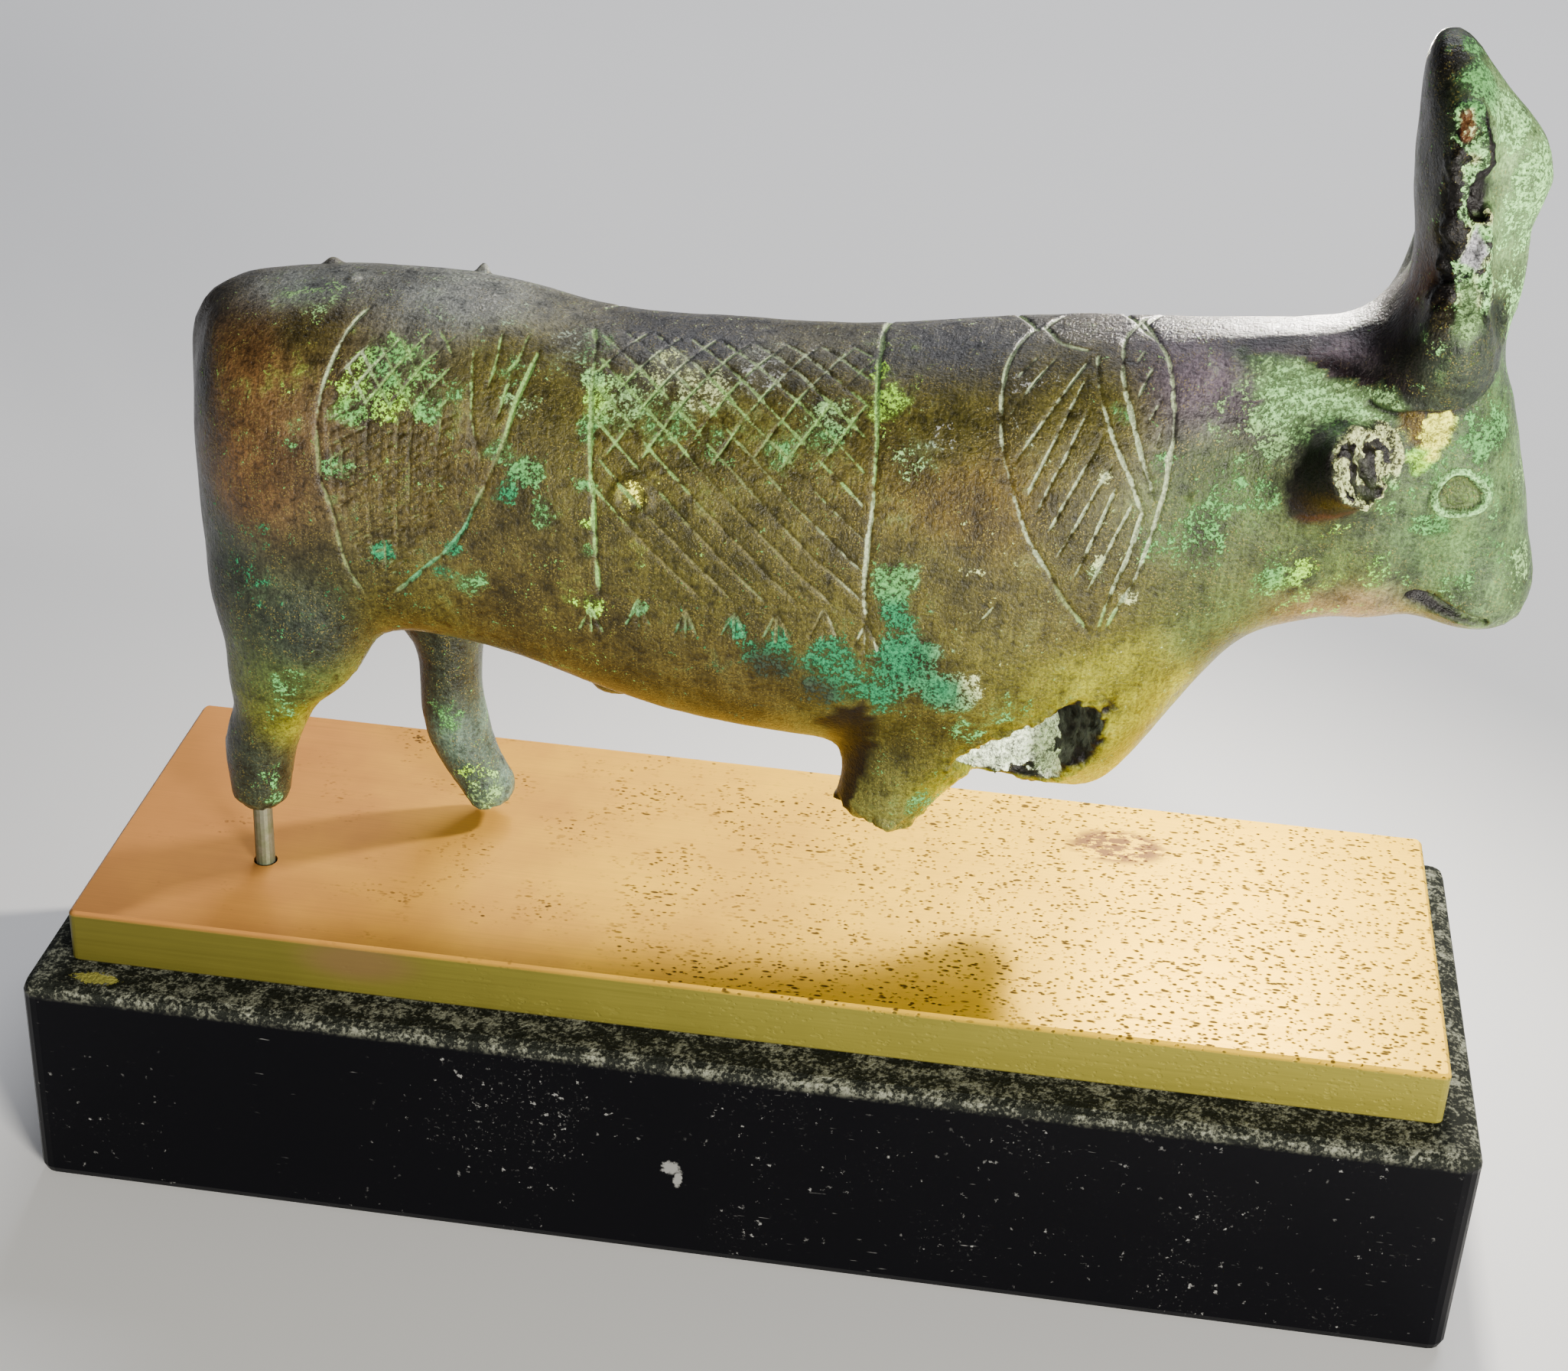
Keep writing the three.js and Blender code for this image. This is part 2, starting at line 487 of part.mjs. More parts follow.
const group = new THREE.Group();
const place = (name, geometry, material, x, y, z) => {
  const mesh = new THREE.Mesh(geometry, material);
  mesh.name = name;
  mesh.position.set(x, y, z);
  group.add(mesh);
};
const blockLength = plateLength + 2 * blockMarginEnds;
const blockWidth = plateWidth + 2 * blockMarginSides;
place('base_block', slab(blockLength, blockWidth, blockHeight, blockCorner, blockEdgeRadius, 2, 2), blackLacquer, 0, 0, 0);
place('brass_plate', toGeometry(plateSolid()), brass, 0, 0, blockHeight);
place('mounting_pin', pinCylinder(pinRadius, blockHeight, plateTop + footGap + pinTop), steel, pinX, pinY - figureSetback, 0);
place('bull', drawnTogether(bullSolid(), shortestEdge), bronze, 0, -figureSetback, plateTop + footGap);

export default group;
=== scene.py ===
"""A small cast bronze bull, engraved, corroded and broken in places, on a brass plate and a black block."""
import math

import bpy
import numpy as np
from bpy.props import FloatProperty, FloatVectorProperty, PointerProperty
from mathutils import Matrix, Vector


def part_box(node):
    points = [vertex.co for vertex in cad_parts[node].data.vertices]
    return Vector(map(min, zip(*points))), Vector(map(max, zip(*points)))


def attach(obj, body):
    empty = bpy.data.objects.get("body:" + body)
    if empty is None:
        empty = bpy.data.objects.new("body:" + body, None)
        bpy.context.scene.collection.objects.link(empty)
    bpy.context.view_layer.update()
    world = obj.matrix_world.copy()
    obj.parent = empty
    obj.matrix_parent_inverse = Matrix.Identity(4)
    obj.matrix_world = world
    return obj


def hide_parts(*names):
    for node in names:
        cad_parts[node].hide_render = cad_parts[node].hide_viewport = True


bl_info = {
    "name": "Cast bronze bull",
    "version": (1, 0, 0),
    "blender": (4, 5, 0),
    "location": "View3D > Sidebar > Bronze Bull",
    "description": "Dresses a broken bronze bull, its brass plate, its pin and its black block",
    "category": "Object",
}

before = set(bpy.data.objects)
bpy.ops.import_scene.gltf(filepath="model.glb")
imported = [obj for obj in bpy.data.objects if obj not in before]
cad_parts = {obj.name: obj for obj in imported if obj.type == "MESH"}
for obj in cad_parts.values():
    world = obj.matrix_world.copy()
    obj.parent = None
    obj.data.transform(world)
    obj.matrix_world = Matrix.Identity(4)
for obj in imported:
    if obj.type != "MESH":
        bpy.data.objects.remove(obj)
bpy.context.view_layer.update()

MM = 0.001
PLATE_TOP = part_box("brass_plate")[1][2] / MM
BLOCK_BASE, BLOCK_TOP = (corner[2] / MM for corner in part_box("base_block"))

# The bull is drawn in millimetres, level with its lowest hoof, on a middle line a little to the near side of
# the plate's
FIGURE_ASIDE = 1.0
FOOT_GAP = 0.4
FIGURE_BASE = np.array([0.0, -FIGURE_ASIDE, PLATE_TOP + FOOT_GAP])


# Curves and rings


def through(pairs):
    """A smooth curve through (at, value) pairs: a cubic between neighbours, whose slope at each point is
    that of the chord from the point before to the point after."""
    at, value = np.array(pairs, float).T
    before = np.r_[0, np.arange(len(at) - 1)]
    after = np.r_[np.arange(1, len(at)), len(at) - 1]
    slope = (value[after] - value[before]) / (at[after] - at[before])

    def curve(x):
        x = np.clip(x, at[0], at[-1])
        i = np.clip(np.searchsorted(at, x, side="right") - 1, 0, len(at) - 2)
        span = at[i + 1] - at[i]
        t = (x - at[i]) / span
        rise = (3 - 2 * t) * t * t
        bend = span * (slope[i] * t * (1 - t) ** 2 + slope[i + 1] * t * t * (t - 1))
        return value[i] + (value[i + 1] - value[i]) * rise + bend

    return curve


def blunt(distance, reach, power):
    """The share of full size at a distance from a rounded end: (1 - (1 - d / reach)^power)^(1 / power)."""
    inside = np.clip(1 - np.maximum(distance, 0) / reach, 0, 1)
    return (1 - inside ** power) ** (1 / power)


def round_angles(sides):
    """Even angles all the way round."""
    return 2 * np.pi * np.arange(sides) / sides


def reach_at(angle, half, height, power):
    """How far a rounded box reaches: (|cos / half|^power + |sin / height|^power)^(-1 / power)."""
    across = np.abs(np.cos(angle)) / half
    up = np.abs(np.sin(angle)) / height
    return (across ** power + up ** power) ** (-1 / power)


def smooth(low, high, value):
    """A smooth step from 0 at low to 1 at high: 3t^2 - 2t^3."""
    t = np.clip((value - low) / (high - low), 0, 1)
    return t * t * (3 - 2 * t)


def spline(stations, count):
    """A path through points: a cubic between neighbours, its tangents weighted by the square roots of the
    spans. Returns (count, n) places spread evenly over the stations."""
    p = np.array(stations, float)
    p = np.concatenate([[2 * p[0] - p[1]], p, [2 * p[-1] - p[-2]]])
    along = np.linspace(0, len(p) - 3, count)
    i = np.minimum(along.astype(int), len(p) - 4)
    t = (along - i)[:, None]
    a, b, c, d = p[i], p[i + 1], p[i + 2], p[i + 3]
    ab, bc, cd = (np.sqrt(np.linalg.norm(q - r, axis=1))[:, None] for q, r in ((b, a), (c, b), (d, c)))
    leave = ((b - a) / ab - (c - a) / (ab + bc) + (c - b) / bc) * bc
    arrive = ((c - b) / bc - (d - b) / (bc + cd) + (d - c) / cd) * bc
    bend = (3 * (c - b) - 2 * leave - arrive) * t ** 2
    return b + leave * t + bend + (2 * (b - c) + leave + arrive) * t ** 3


def tube(rings):
    """Points and triangles of a closed skin over rings of points, with a fan at each end."""
    rows, sides = rings.shape[:2]
    points = np.concatenate([rings.reshape(-1, 3), [rings[0].mean(0)], [rings[-1].mean(0)]])
    a = np.arange(rows * sides).reshape(rows, sides)
    b = np.roll(a, -1, axis=1)
    side = np.concatenate([np.stack([a[:-1], b[:-1], b[1:]], -1).reshape(-1, 3),
                           np.stack([a[:-1], b[1:], a[1:]], -1).reshape(-1, 3)])
    start = np.stack([np.full(sides, rows * sides), b[0], a[0]], -1)
    end = np.stack([np.full(sides, rows * sides + 1), a[-1], b[-1]], -1)
    faces = np.concatenate([side, start, end])
    corner = points[faces]
    volume = (np.cross(corner[:, 0], corner[:, 1]) * corner[:, 2]).sum()
    return points, faces if volume > 0 else faces[:, ::-1]


# Random surfaces

LATTICE = np.random.default_rng(11).uniform(-1, 1, 4096)
HASH = np.array([73856093, 19349663, 83492791])


def lattice_noise(points, wavelength, seed):
    """Random numbers on a cubic lattice, blended between its corners with smooth steps; from -1 to 1."""
    q = points / wavelength + 17.31 * seed
    cell = np.floor(q).astype(np.int64)
    t = q - cell
    t = t * t * (3 - 2 * t)
    total = np.zeros(len(points))
    for corner in range(8):
        step = np.array([corner & 1, corner >> 1 & 1, corner >> 2 & 1])
        key = np.bitwise_xor.reduce((cell + step) * HASH, axis=1)
        total += np.where(step, t, 1 - t).prod(axis=1) * LATTICE[key & len(LATTICE) - 1]
    return total


def rough(points, wavelength, octaves, seed):
    """Lattice noise summed over octaves, each half the wavelength and half the height of the one before."""
    return sum(0.5 ** k * lattice_noise(points, wavelength * 0.5 ** k, seed + k) for k in range(octaves))


def between_cells(grid, u, v):
    """A grid's value at places given in cells: its four corners, each by the area opposite to it."""
    i, j = u.astype(int), v.astype(int)
    u, v = u - i, v - j
    return ((1 - u) * (1 - v) * grid[i, j] + u * (1 - v) * grid[i + 1, j]
            + (1 - u) * v * grid[i, j + 1] + u * v * grid[i + 1, j + 1])


# The bull's form, in millimetres: tables of stations as in the cast model

TRUNK_TOP = through([
    (-47, 48.3), (-44, 48.6), (-39, 49.3), (-34, 49.9), (-28, 50.0), (-24, 49.9), (-20, 49.3), (-16, 48.5),
    (-12, 48.2), (-6, 48.3), (0, 48.5), (6, 49.0), (12, 49.9), (18, 50.9), (24, 51.6), (30, 52.3),
    (36, 53.0), (40, 53.8), (43, 55.2), (46, 56), (48, 53), (51, 48)])
TRUNK_BOTTOM = through([
    (-47, 22.8), (-40, 22.6), (-32, 22.3), (-26, 21.8), (-22, 21.2), (-17, 19.9), (-12, 18.4), (-7, 17.2),
    (-2, 16.6), (4, 16.4), (10, 15.6), (16, 14.4), (21, 13.3), (24.5, 12.9), (26.5, 13.9), (28.5, 16.6),
    (30.3, 19.6), (32.2, 23.0), (34, 26.0), (36, 28.2), (38, 29.4), (41, 30.2), (45, 30.4), (51, 30.8)])
TRUNK_HALF = through([
    (-47, 10.4), (-44, 11.0), (-38, 11.7), (-30, 11.8), (-22, 11.5), (-12, 12.1), (0, 12.6), (8, 12.8),
    (16, 12.5), (22, 11.6), (27, 10.4), (32, 9.2), (38, 8.2), (44, 7.2), (51, 5.8)])
TRUNK_WIDEST = through([
    (-47, 36), (-30, 36), (-10, 33), (5, 32.5), (16, 33), (24, 35), (32, 38), (40, 41), (51, 41)])
BELLY_POWER = through([(-47, 2.6), (10, 2.4), (18, 2.2), (24, 1.9), (34, 1.9), (42, 2.2), (51, 2.2)])
BACK_POWER = 2.3
RUMP_X = -46.5
CHEEK_X = 51.0


def trunk_reach(x, angle):
    """How far the trunk's skin is from its middle line at x, at an angle up from the flank."""
    tall = np.maximum(blunt(x - RUMP_X, 4.5, 3.2) * blunt(CHEEK_X - x, 7, 2), 0.01)
    wide = np.maximum(blunt(x - RUMP_X, 9, 2.2) * blunt(CHEEK_X - x, 7, 2), 0.01)
    back = np.sin(angle) > 0
    middle = TRUNK_WIDEST(x)
    height = np.where(back, TRUNK_TOP(x) - middle, middle - TRUNK_BOTTOM(x))
    return reach_at(angle, wide * TRUNK_HALF(x), tall * height, np.where(back, BACK_POWER, BELLY_POWER(x)))


def trunk_rings(sides, steps):
    """Upright rings along x, closer together at the rump and the cheek."""
    step = np.arange(steps + 1) / steps
    crowded = (1 - np.cos(np.pi * step)) / 2
    x = RUMP_X + (CHEEK_X - RUMP_X) * (0.25 * crowded + 0.75 * step)
    x, angle = np.meshgrid(x, round_angles(sides), indexing="ij")
    reach = trunk_reach(x, angle)
    return np.stack([x, reach * np.cos(angle), TRUNK_WIDEST(x) + reach * np.sin(angle)], -1)


def upright_rings(stations, sides, steps, power, bow):
    """Level rings of a face or crown, each station a height, a rear, a front and a half width; bow bends the
    sides forward by bow (side / 8)^2."""
    table = np.array(stations, float)
    rear, front, half = (through(table[:, [0, k]]) for k in (1, 2, 3))
    step = np.arange(steps + 1) / steps
    z = table[0, 0] + (table[-1, 0] - table[0, 0]) * (0.2 * (1 - np.cos(np.pi * step)) + 0.6 * step)
    z, angle = np.meshgrid(z, round_angles(sides), indexing="ij")
    reach = reach_at(angle, (front(z) - rear(z)) / 2, half(z), power)
    side = reach * np.sin(angle)
    forward = (rear(z) + front(z)) / 2 + reach * np.cos(angle) + bow * (side / 8) ** 2
    return np.stack([forward, side, z], -1)


def limb_rings(stations, sides, steps):
    """Rings square to a curved path, each station a point and its reach fore and aft, then aside."""
    table = np.array(stations, float)
    share = np.arange(len(table)) / (len(table) - 1)
    at = np.linspace(0, 1, steps + 1)
    fore = through(np.c_[share, table[:, 3]])(at)[:, None, None]
    aside = through(np.c_[share, table[:, 4]])(at)[:, None, None]
    centre = spline(table[:, :3], steps + 1)
    tangent = np.gradient(centre, axis=0)
    tangent /= np.linalg.norm(tangent, axis=1)[:, None]
    ahead = np.cross([0.0, 1.0, 0.0], tangent)
    ahead /= np.linalg.norm(ahead, axis=1)[:, None]
    out = np.cross(tangent, ahead)
    angle = round_angles(sides)[None, :, None]
    return (centre[:, None] + fore * np.cos(angle) * ahead[:, None] + aside * np.sin(angle) * out[:, None])


FACE = [(31.0, 50.0, 53.6, 1.5), (31.4, 48.4, 54.9, 3.6), (32.4, 46.8, 55.9, 4.8), (34.2, 45.4, 56.4, 5.3),
        (36, 44.4, 56.2, 5.5), (38.5, 43.5, 55.4, 5.8), (41, 43, 54.7, 6.3), (44, 42, 54.0, 6.9),
        (47, 41, 53.1, 7.1), (50, 40, 51.9, 7.0), (53, 40.5, 50.8, 6.2), (56, 43, 50, 4.5)]
CROWN = [(51, 42.4, 49.8, 5.2), (55, 43.2, 50.2, 5.0), (58, 43.8, 49.2, 5.8), (61, 43.4, 48.2, 7.0),
         (64, 42.8, 47.6, 7.9), (67, 42.5, 47.3, 8.0), (70, 42.4, 46.9, 7.2), (72.4, 42.2, 46.4, 5.6),
         (74, 42.3, 45.8, 3.9), (74.9, 42.7, 45.2, 2.2), (75.3, 43.2, 44.6, 0.8)]
NEAR_HIND_LEG = [
    (-41.8, -5.6, 5.3, 1.6, 1.6), (-41.8, -5.6, 6.1, 2.3, 2.2), (-41.7, -5.7, 8.4, 2.8, 2.6),
    (-41.4, -5.8, 11.5, 3.1, 2.9), (-40.4, -6.0, 14.5, 3.1, 3.2), (-39.6, -6.3, 18, 4.3, 3.8),
    (-38.2, -6.6, 21.6, 6.0, 4.4), (-37.4, -6.4, 27, 7.3, 5.1), (-37.4, -5, 36, 6.4, 4.5)]
FAR_HIND_LEG = [
    (-24.7, 5.6, 0.9, 2.2, 2.2), (-25.4, 5.6, 2.4, 2.4, 2.4), (-26.9, 5.6, 5, 2.6, 2.6),
    (-28.2, 5.7, 8.4, 2.9, 2.7), (-28.6, 5.8, 12, 2.7, 2.8), (-28.8, 6, 16, 3.1, 3.2),
    (-30, 6.4, 20.5, 5, 4.2), (-32, 6.4, 27, 7.6, 5.2), (-33, 5, 35, 6.6, 4.5)]
NEAR_FORELEG = [
    (9.0, -6.2, 11.9, 3.2, 2.6), (9.6, -6.2, 13.5, 3.5, 2.9), (10.4, -6.2, 15.6, 4.0, 3.3),
    (11.8, -6.1, 19, 5.2, 4.0), (13.5, -6, 24, 6.4, 4.8), (15, -5, 32, 6, 4)]
# In the scene the near foreleg runs on past its break, which is cut into it, and is wider at the rear there
NEAR_FORELEG_END = [(7.8, -6.2, 9.2, 3.5, 2.7), (8.8, -6.2, 11.9, 3.5, 2.7), (9.3, -6.2, 13.5, 3.8, 2.9),
                    (10.1, -6.2, 15.6, 4.3, 3.3)]
FAR_FORELEG = [
    (23.6, 5.2, 12.3, 2.6, 2.6), (22.8, 5.4, 15, 3.5, 3.1), (21.2, 5.4, 19, 4.6, 3.9),
    (19.5, 5.2, 25, 5.8, 4.6), (18, 4.5, 33, 5.5, 4)]
SERPENT = [
    (48.2, 0, 52.5, 2.4, 2.6), (49.2, 0, 56.5, 2.5, 2.2), (49.3, 0, 59.5, 2.4, 2.1),
    (49.1, 0, 62.3, 2.4, 2.4), (49.6, 0, 64.6, 2.7, 2.9), (49.4, 0, 66.6, 2.6, 3.0),
    (48.5, 0, 68.4, 2.2, 2.6), (47.3, 0, 70.2, 1.7, 2.1), (46.1, 0, 72.2, 1.3, 1.7),
    (45.1, 0, 73.8, 0.9, 1.2)]
FAR_HORN = [
    (45.6, 3, 51.8, 3.4, 3.6), (46.2, 5.6, 53.4, 3.2, 3.2), (46.6, 7.4, 57, 2.5, 2.4),
    (46.6, 8.3, 61, 2.2, 2.1), (46.3, 8.1, 65.5, 1.9, 1.8), (45.8, 7.0, 69.5, 1.5, 1.4),
    (45.0, 5.2, 72.2, 0.8, 0.8)]
NEAR_HORN = [
    (45.4, -2.5, 52.8, 4.2, 3.6), (46.0, -5.0, 53.4, 3.8, 3.3), (46.4, -6.6, 55.2, 3.0, 2.8),
    (46.6, -7.0, 58.4, 2.2, 2.0)]
NEAR_EAR = [(37.2, -3.2, 43.9, 3.4, 3.4), (38.6, -6.2, 44.9, 3.1, 3.1), (40.1, -8.5, 45.6, 3.0, 3.0),
            (41.65, -10.0, 46.5, 3.05, 3.05)]
TAIL = [
    (-44.0, 0, 47.4, 1.4, 1.9), (-45.8, 0, 44.8, 1.3, 1.6), (-46.2, 0, 38, 1.0, 1.3),
    (-45.9, 0.3, 28, 0.9, 1.2), (-45.3, 0.8, 20, 1.2, 1.6), (-44.8, 1.0, 15.5, 0.5, 0.6)]
SHEATH = [(-15.5, 0, 18.6, 1.6, 1.6), (-13.4, 0, 17.2, 1.6, 1.7), (-11.6, 0, 16.8, 1.0, 1.1)]
PIN_X, PIN_Y = NEAR_HIND_LEG[0][:2]
PIN_HOLE_TOP = NEAR_HIND_LEG[0][2] + 6
PIN_HOLE_RADIUS = 1.0

# The outline of the hole broken into the lower chest, and which way it faces
CHEST_HOLE = [(14.8, -9.4, 18.4), (17.5, -9.7, 20.5), (19.4, -9.9, 21.8), (21.2, -9.9, 22.9),
              (22.8, -9.9, 24.1), (24.7, -9.2, 24.0), (25.4, -8.4, 22.5), (24.2, -7.0, 18.6),
              (23.1, -6.2, 17.1), (20.9, -4.6, 14.9), (18.0, -6.6, 15.6), (15.2, -8.3, 16.8)]
CHEST_OUT = np.array([0.1, -0.86, -0.5])


def mirrored(stations):
    return [(x, -y, *rest) for x, y, *rest in stations]


def chest_hollow_rings():
    """The hole's outline carried outwards, and inwards to a rounded floor; its edge is ragged."""
    outline = spline(CHEST_HOLE + CHEST_HOLE[:1], 61)[:-1]
    middle = outline.mean(0)
    ragged = 1 + 0.09 * lattice_noise(outline, 0.9, 3)[:, None]
    depths = ((4, 1.25), (0, 1.0), (-2.2, 1.12), (-4.4, 1.0), (-5.6, 0.6))
    ragged_outline = (outline - middle) * ragged
    return np.array([middle + ragged_outline * grow + CHEST_OUT * depth for depth, grow in depths])


def crown_break_rings():
    """A block whose inner face is the rough break: it leans in with height, and wavers by noise."""
    z = np.linspace(57.6, 76, 60)
    foot = np.array([(40, -0.4, 0), (43.5, 0.1, 1), (45.2, 0.5, 1), (46.8, 0.2, 1), (48.5, 0.9, 1),
                     (53, 1.8, 0)])
    near = 5.9 - 4.4 * (np.maximum(0, z - 68.5) / 6.5) ** 1.5 + 1.2 * smooth(60, 57.6, z)
    rows = []
    for x, off, ragged in foot:
        place = np.c_[np.full(len(z), x), np.zeros(len(z)), z]
        y = near + off + ragged * (0.5 * lattice_noise(place, 1.6, 5) + 0.35 * lattice_noise(place, 0.7, 6))
        rows.append(np.c_[place[:, 0], -y, z])
    far = [np.c_[np.full(len(z), x), np.full(len(z), -16.0), z] for x in (53, 40)]
    return np.stack(rows + far, axis=1)


def stump_rings():
    """A block under the near foreleg whose upper face is the break: it falls forwards, and wavers."""
    x = np.linspace(2, 17, 61)
    level = through([(2, 13.3), (5.6, 12.2), (7.6, 11.6), (9.4, 10.9), (11.6, 10.4), (17, 10.2)])(x)
    rows = []
    for y in np.linspace(-12.5, 0.5, 40):
        place = np.c_[x, np.full(len(x), y), np.zeros(len(x))]
        rows.append(np.c_[place[:, :2], level + 0.45 * rough(place, 1.3, 3, 37)])
    deep = [np.c_[x, np.full(len(x), y), np.full(len(x), 4.0)] for y in (0.5, -12.5)]
    return np.stack(rows + deep, axis=1)


CROWN_CAVITIES = [
    [(46.5, -4.2, 62.9, 0.3, 0.4), (46.7, -5.4, 64.2, 0.9, 1.4), (46.9, -5.6, 66.0, 0.95, 1.7),
     (47.3, -5.4, 67.8, 0.3, 0.5)],
    [(45.4, -5.6, 69.0, 0.3, 0.4), (45.3, -5.2, 70.0, 0.6, 0.9), (45.1, -4.4, 71.3, 0.3, 0.4)],
    [(46.2, -6.0, 59.6, 0.2, 0.3), (46.1, -6.2, 60.4, 0.6, 0.8), (46.2, -6.0, 61.4, 0.2, 0.3)],
]


# Blender meshes and arrays


def new_object(name, points, faces):
    """An object of its own from arrays of points and triangles."""
    mesh = bpy.data.meshes.new(name)
    mesh.vertices.add(len(points))
    mesh.vertices.foreach_set("co", np.ascontiguousarray(points, np.float32).ravel())
    mesh.loops.add(faces.size)
    mesh.loops.foreach_set("vertex_index", np.ascontiguousarray(faces, np.int32).ravel())
    mesh.polygons.add(len(faces))
    mesh.polygons.foreach_set("loop_start", np.arange(0, faces.size, faces.shape[1], dtype=np.int32))
    mesh.update(calc_edges=True)
    made = bpy.data.objects.new(name, mesh)
    bpy.context.scene.collection.objects.link(made)
    return made


def evaluated_arrays(made):
    """The points and triangles of an object with its modifiers."""
    final = made.evaluated_get(bpy.context.evaluated_depsgraph_get())
    mesh = final.to_mesh()
    mesh.calc_loop_triangles()
    points = np.zeros(3 * len(mesh.vertices), np.float32)
    mesh.vertices.foreach_get("co", points)
    faces = np.zeros(3 * len(mesh.loop_triangles), np.int32)
    mesh.loop_triangles.foreach_get("vertices", faces)
    final.to_mesh_clear()
    return points.reshape(-1, 3).astype(float), faces.reshape(-1, 3)


def discard(*objects):
    for made in objects:
        mesh = made.data
        bpy.data.objects.remove(made)
        bpy.data.meshes.remove(mesh)


def cut(shell, cutters):
    """A closed shell with others taken out of it."""
    body = new_object("body", *shell)
    tools = [new_object("cutter", *cutter) for cutter in cutters]
    for tool in tools:
        step = body.modifiers.new("cut", "BOOLEAN")
        step.operation = "DIFFERENCE"
        step.solver = "EXACT"
        step.object = tool
    result = evaluated_arrays(body)
    discard(body, *tools)
    return result


def cast_together(shells, grain):
    """One skin round all the shells, laid on cells of the given size."""
    offset = np.cumsum([0] + [len(points) for points, _ in shells[:-1]])
    points = np.concatenate([shell[0] for shell in shells])
    faces = np.concatenate([shell[1] + start for shell, start in zip(shells, offset)])
    body = new_object("body", points, faces)
    step = body.modifiers.new("skin", "REMESH")
    step.mode = "VOXEL"
    step.voxel_size = grain
    result = evaluated_arrays(body)
    discard(body)
    return result


def neighbour_mean(faces, size):
    """A function that gives the mean of each point's neighbours."""
    edge = np.concatenate([faces[:, [0, 1]], faces[:, [1, 2]], faces[:, [2, 0]]])
    start, end = np.concatenate([edge, edge[:, ::-1]]).T
    count = np.bincount(start, minlength=size)[:, None]

    def mean(points):
        return np.stack([np.bincount(start, points[end, k], size) for k in range(3)], -1) / count

    return mean


def relax(points, faces, amount, rounds):
    """Moves each point towards the mean of its neighbours, by its amount, a number of rounds."""
    mean = neighbour_mean(faces, len(points))
    for _ in range(rounds):
        points = points + amount[:, None] * (mean(points) - points)
    return points


def normals_of(points, faces):
    """The mean normal at each point, weighted by the area of the faces round it."""
    corner = points[faces]
    face = np.cross(corner[:, 1] - corner[:, 0], corner[:, 2] - corner[:, 0])
    total = np.stack([sum(np.bincount(faces[:, k], face[:, axis], len(points)) for k in range(3))
                      for axis in range(3)], -1)
    return total / np.maximum(np.linalg.norm(total, axis=1), 1e-12)[:, None]


def halve_edges(points, faces, limit):
    """Splits every edge longer than the limit at its middle; a face is cut into two, three or four by how
    many of its edges are split."""
    edge = np.sort(faces[:, [[0, 1], [1, 2], [2, 0]]], axis=2).astype(np.int64)
    key, where = np.unique(edge[..., 0] * len(points) + edge[..., 1], return_inverse=True)
    a, b = key // len(points), key % len(points)
    middle = (points[a] + points[b]) / 2
    long = np.linalg.norm(points[a] - points[b], axis=1) > limit(middle)
    number = np.full(len(key), -1)
    number[long] = len(points) + np.arange(long.sum())
    mid = number[where].reshape(-1, 3)
    splits = (mid >= 0).sum(1)
    turn = np.zeros(len(faces), int)
    turn[splits == 1] = np.argmax(mid[splits == 1] >= 0, axis=1)
    turn[splits == 2] = (np.argmin(mid[splits == 2] >= 0, axis=1) + 1) % 3
    order = (turn[:, None] + np.arange(3)) % 3
    p, q, r = np.take_along_axis(faces, order, 1).T
    pq, qr, rp = np.take_along_axis(mid, order, 1).T

    def triangles(chosen, *corners):
        return np.stack([c[chosen] for c in corners], -1)

    none, one, two, three = (splits == k for k in range(4))
    faces = np.concatenate([
        triangles(none, p, q, r),
        triangles(one, p, pq, r), triangles(one, pq, q, r),
        triangles(two, pq, q, qr), triangles(two, p, pq, qr), triangles(two, p, qr, r),
        triangles(three, p, pq, rp), triangles(three, pq, q, qr), triangles(three, rp, qr, r),
        triangles(three, pq, qr, rp)])
    return np.concatenate([points, middle[long]]), faces


# The flanks, unrolled: x along the bull, and the way down from the spine, negative on the far side

UNROLL_STEP = 0.5
UNROLL_TURNS = 240
UNROLL_X = np.arange(RUMP_X, CHEEK_X + UNROLL_STEP / 2, UNROLL_STEP)
UNROLL_ANGLE = np.linspace(np.pi / 2, -np.pi / 2, UNROLL_TURNS + 1)


def unroll_table():
    """The way down from the spine at each x and angle: the summed chords of the trunk's section."""
    x, angle = np.meshgrid(UNROLL_X, UNROLL_ANGLE, indexing="ij")
    reach = trunk_reach(x, angle)
    y, z = reach * np.cos(angle), reach * np.sin(angle)
    chord = np.hypot(np.diff(y, axis=1), np.diff(z, axis=1))
    return np.concatenate([np.zeros((len(x), 1)), np.cumsum(chord, axis=1)], axis=1)


UNROLLED = unroll_table()


def unroll(points):
    """The way down from the spine of points of the skin, and how far each lies outside the trunk's form."""
    x = points[:, 0]
    across, up = np.abs(points[:, 1]), points[:, 2] - TRUNK_WIDEST(x)
    angle = np.arctan2(up, across)
    column = np.clip((x - UNROLL_X[0]) / UNROLL_STEP, 0, len(UNROLL_X) - 1.001)
    row = np.clip((np.pi / 2 - angle) / (np.pi / UNROLL_TURNS), 0, UNROLL_TURNS - 0.001)
    down = between_cells(UNROLLED, column, row)
    off = np.hypot(across, up) - trunk_reach(np.clip(x, RUMP_X + 0.01, CHEEK_X - 0.01), angle)
    return np.where(points[:, 1] < 0, down, -down), off


# Engraving, drawn on a sheet of the unrolled flanks: x, and the way down from the spine on the near side

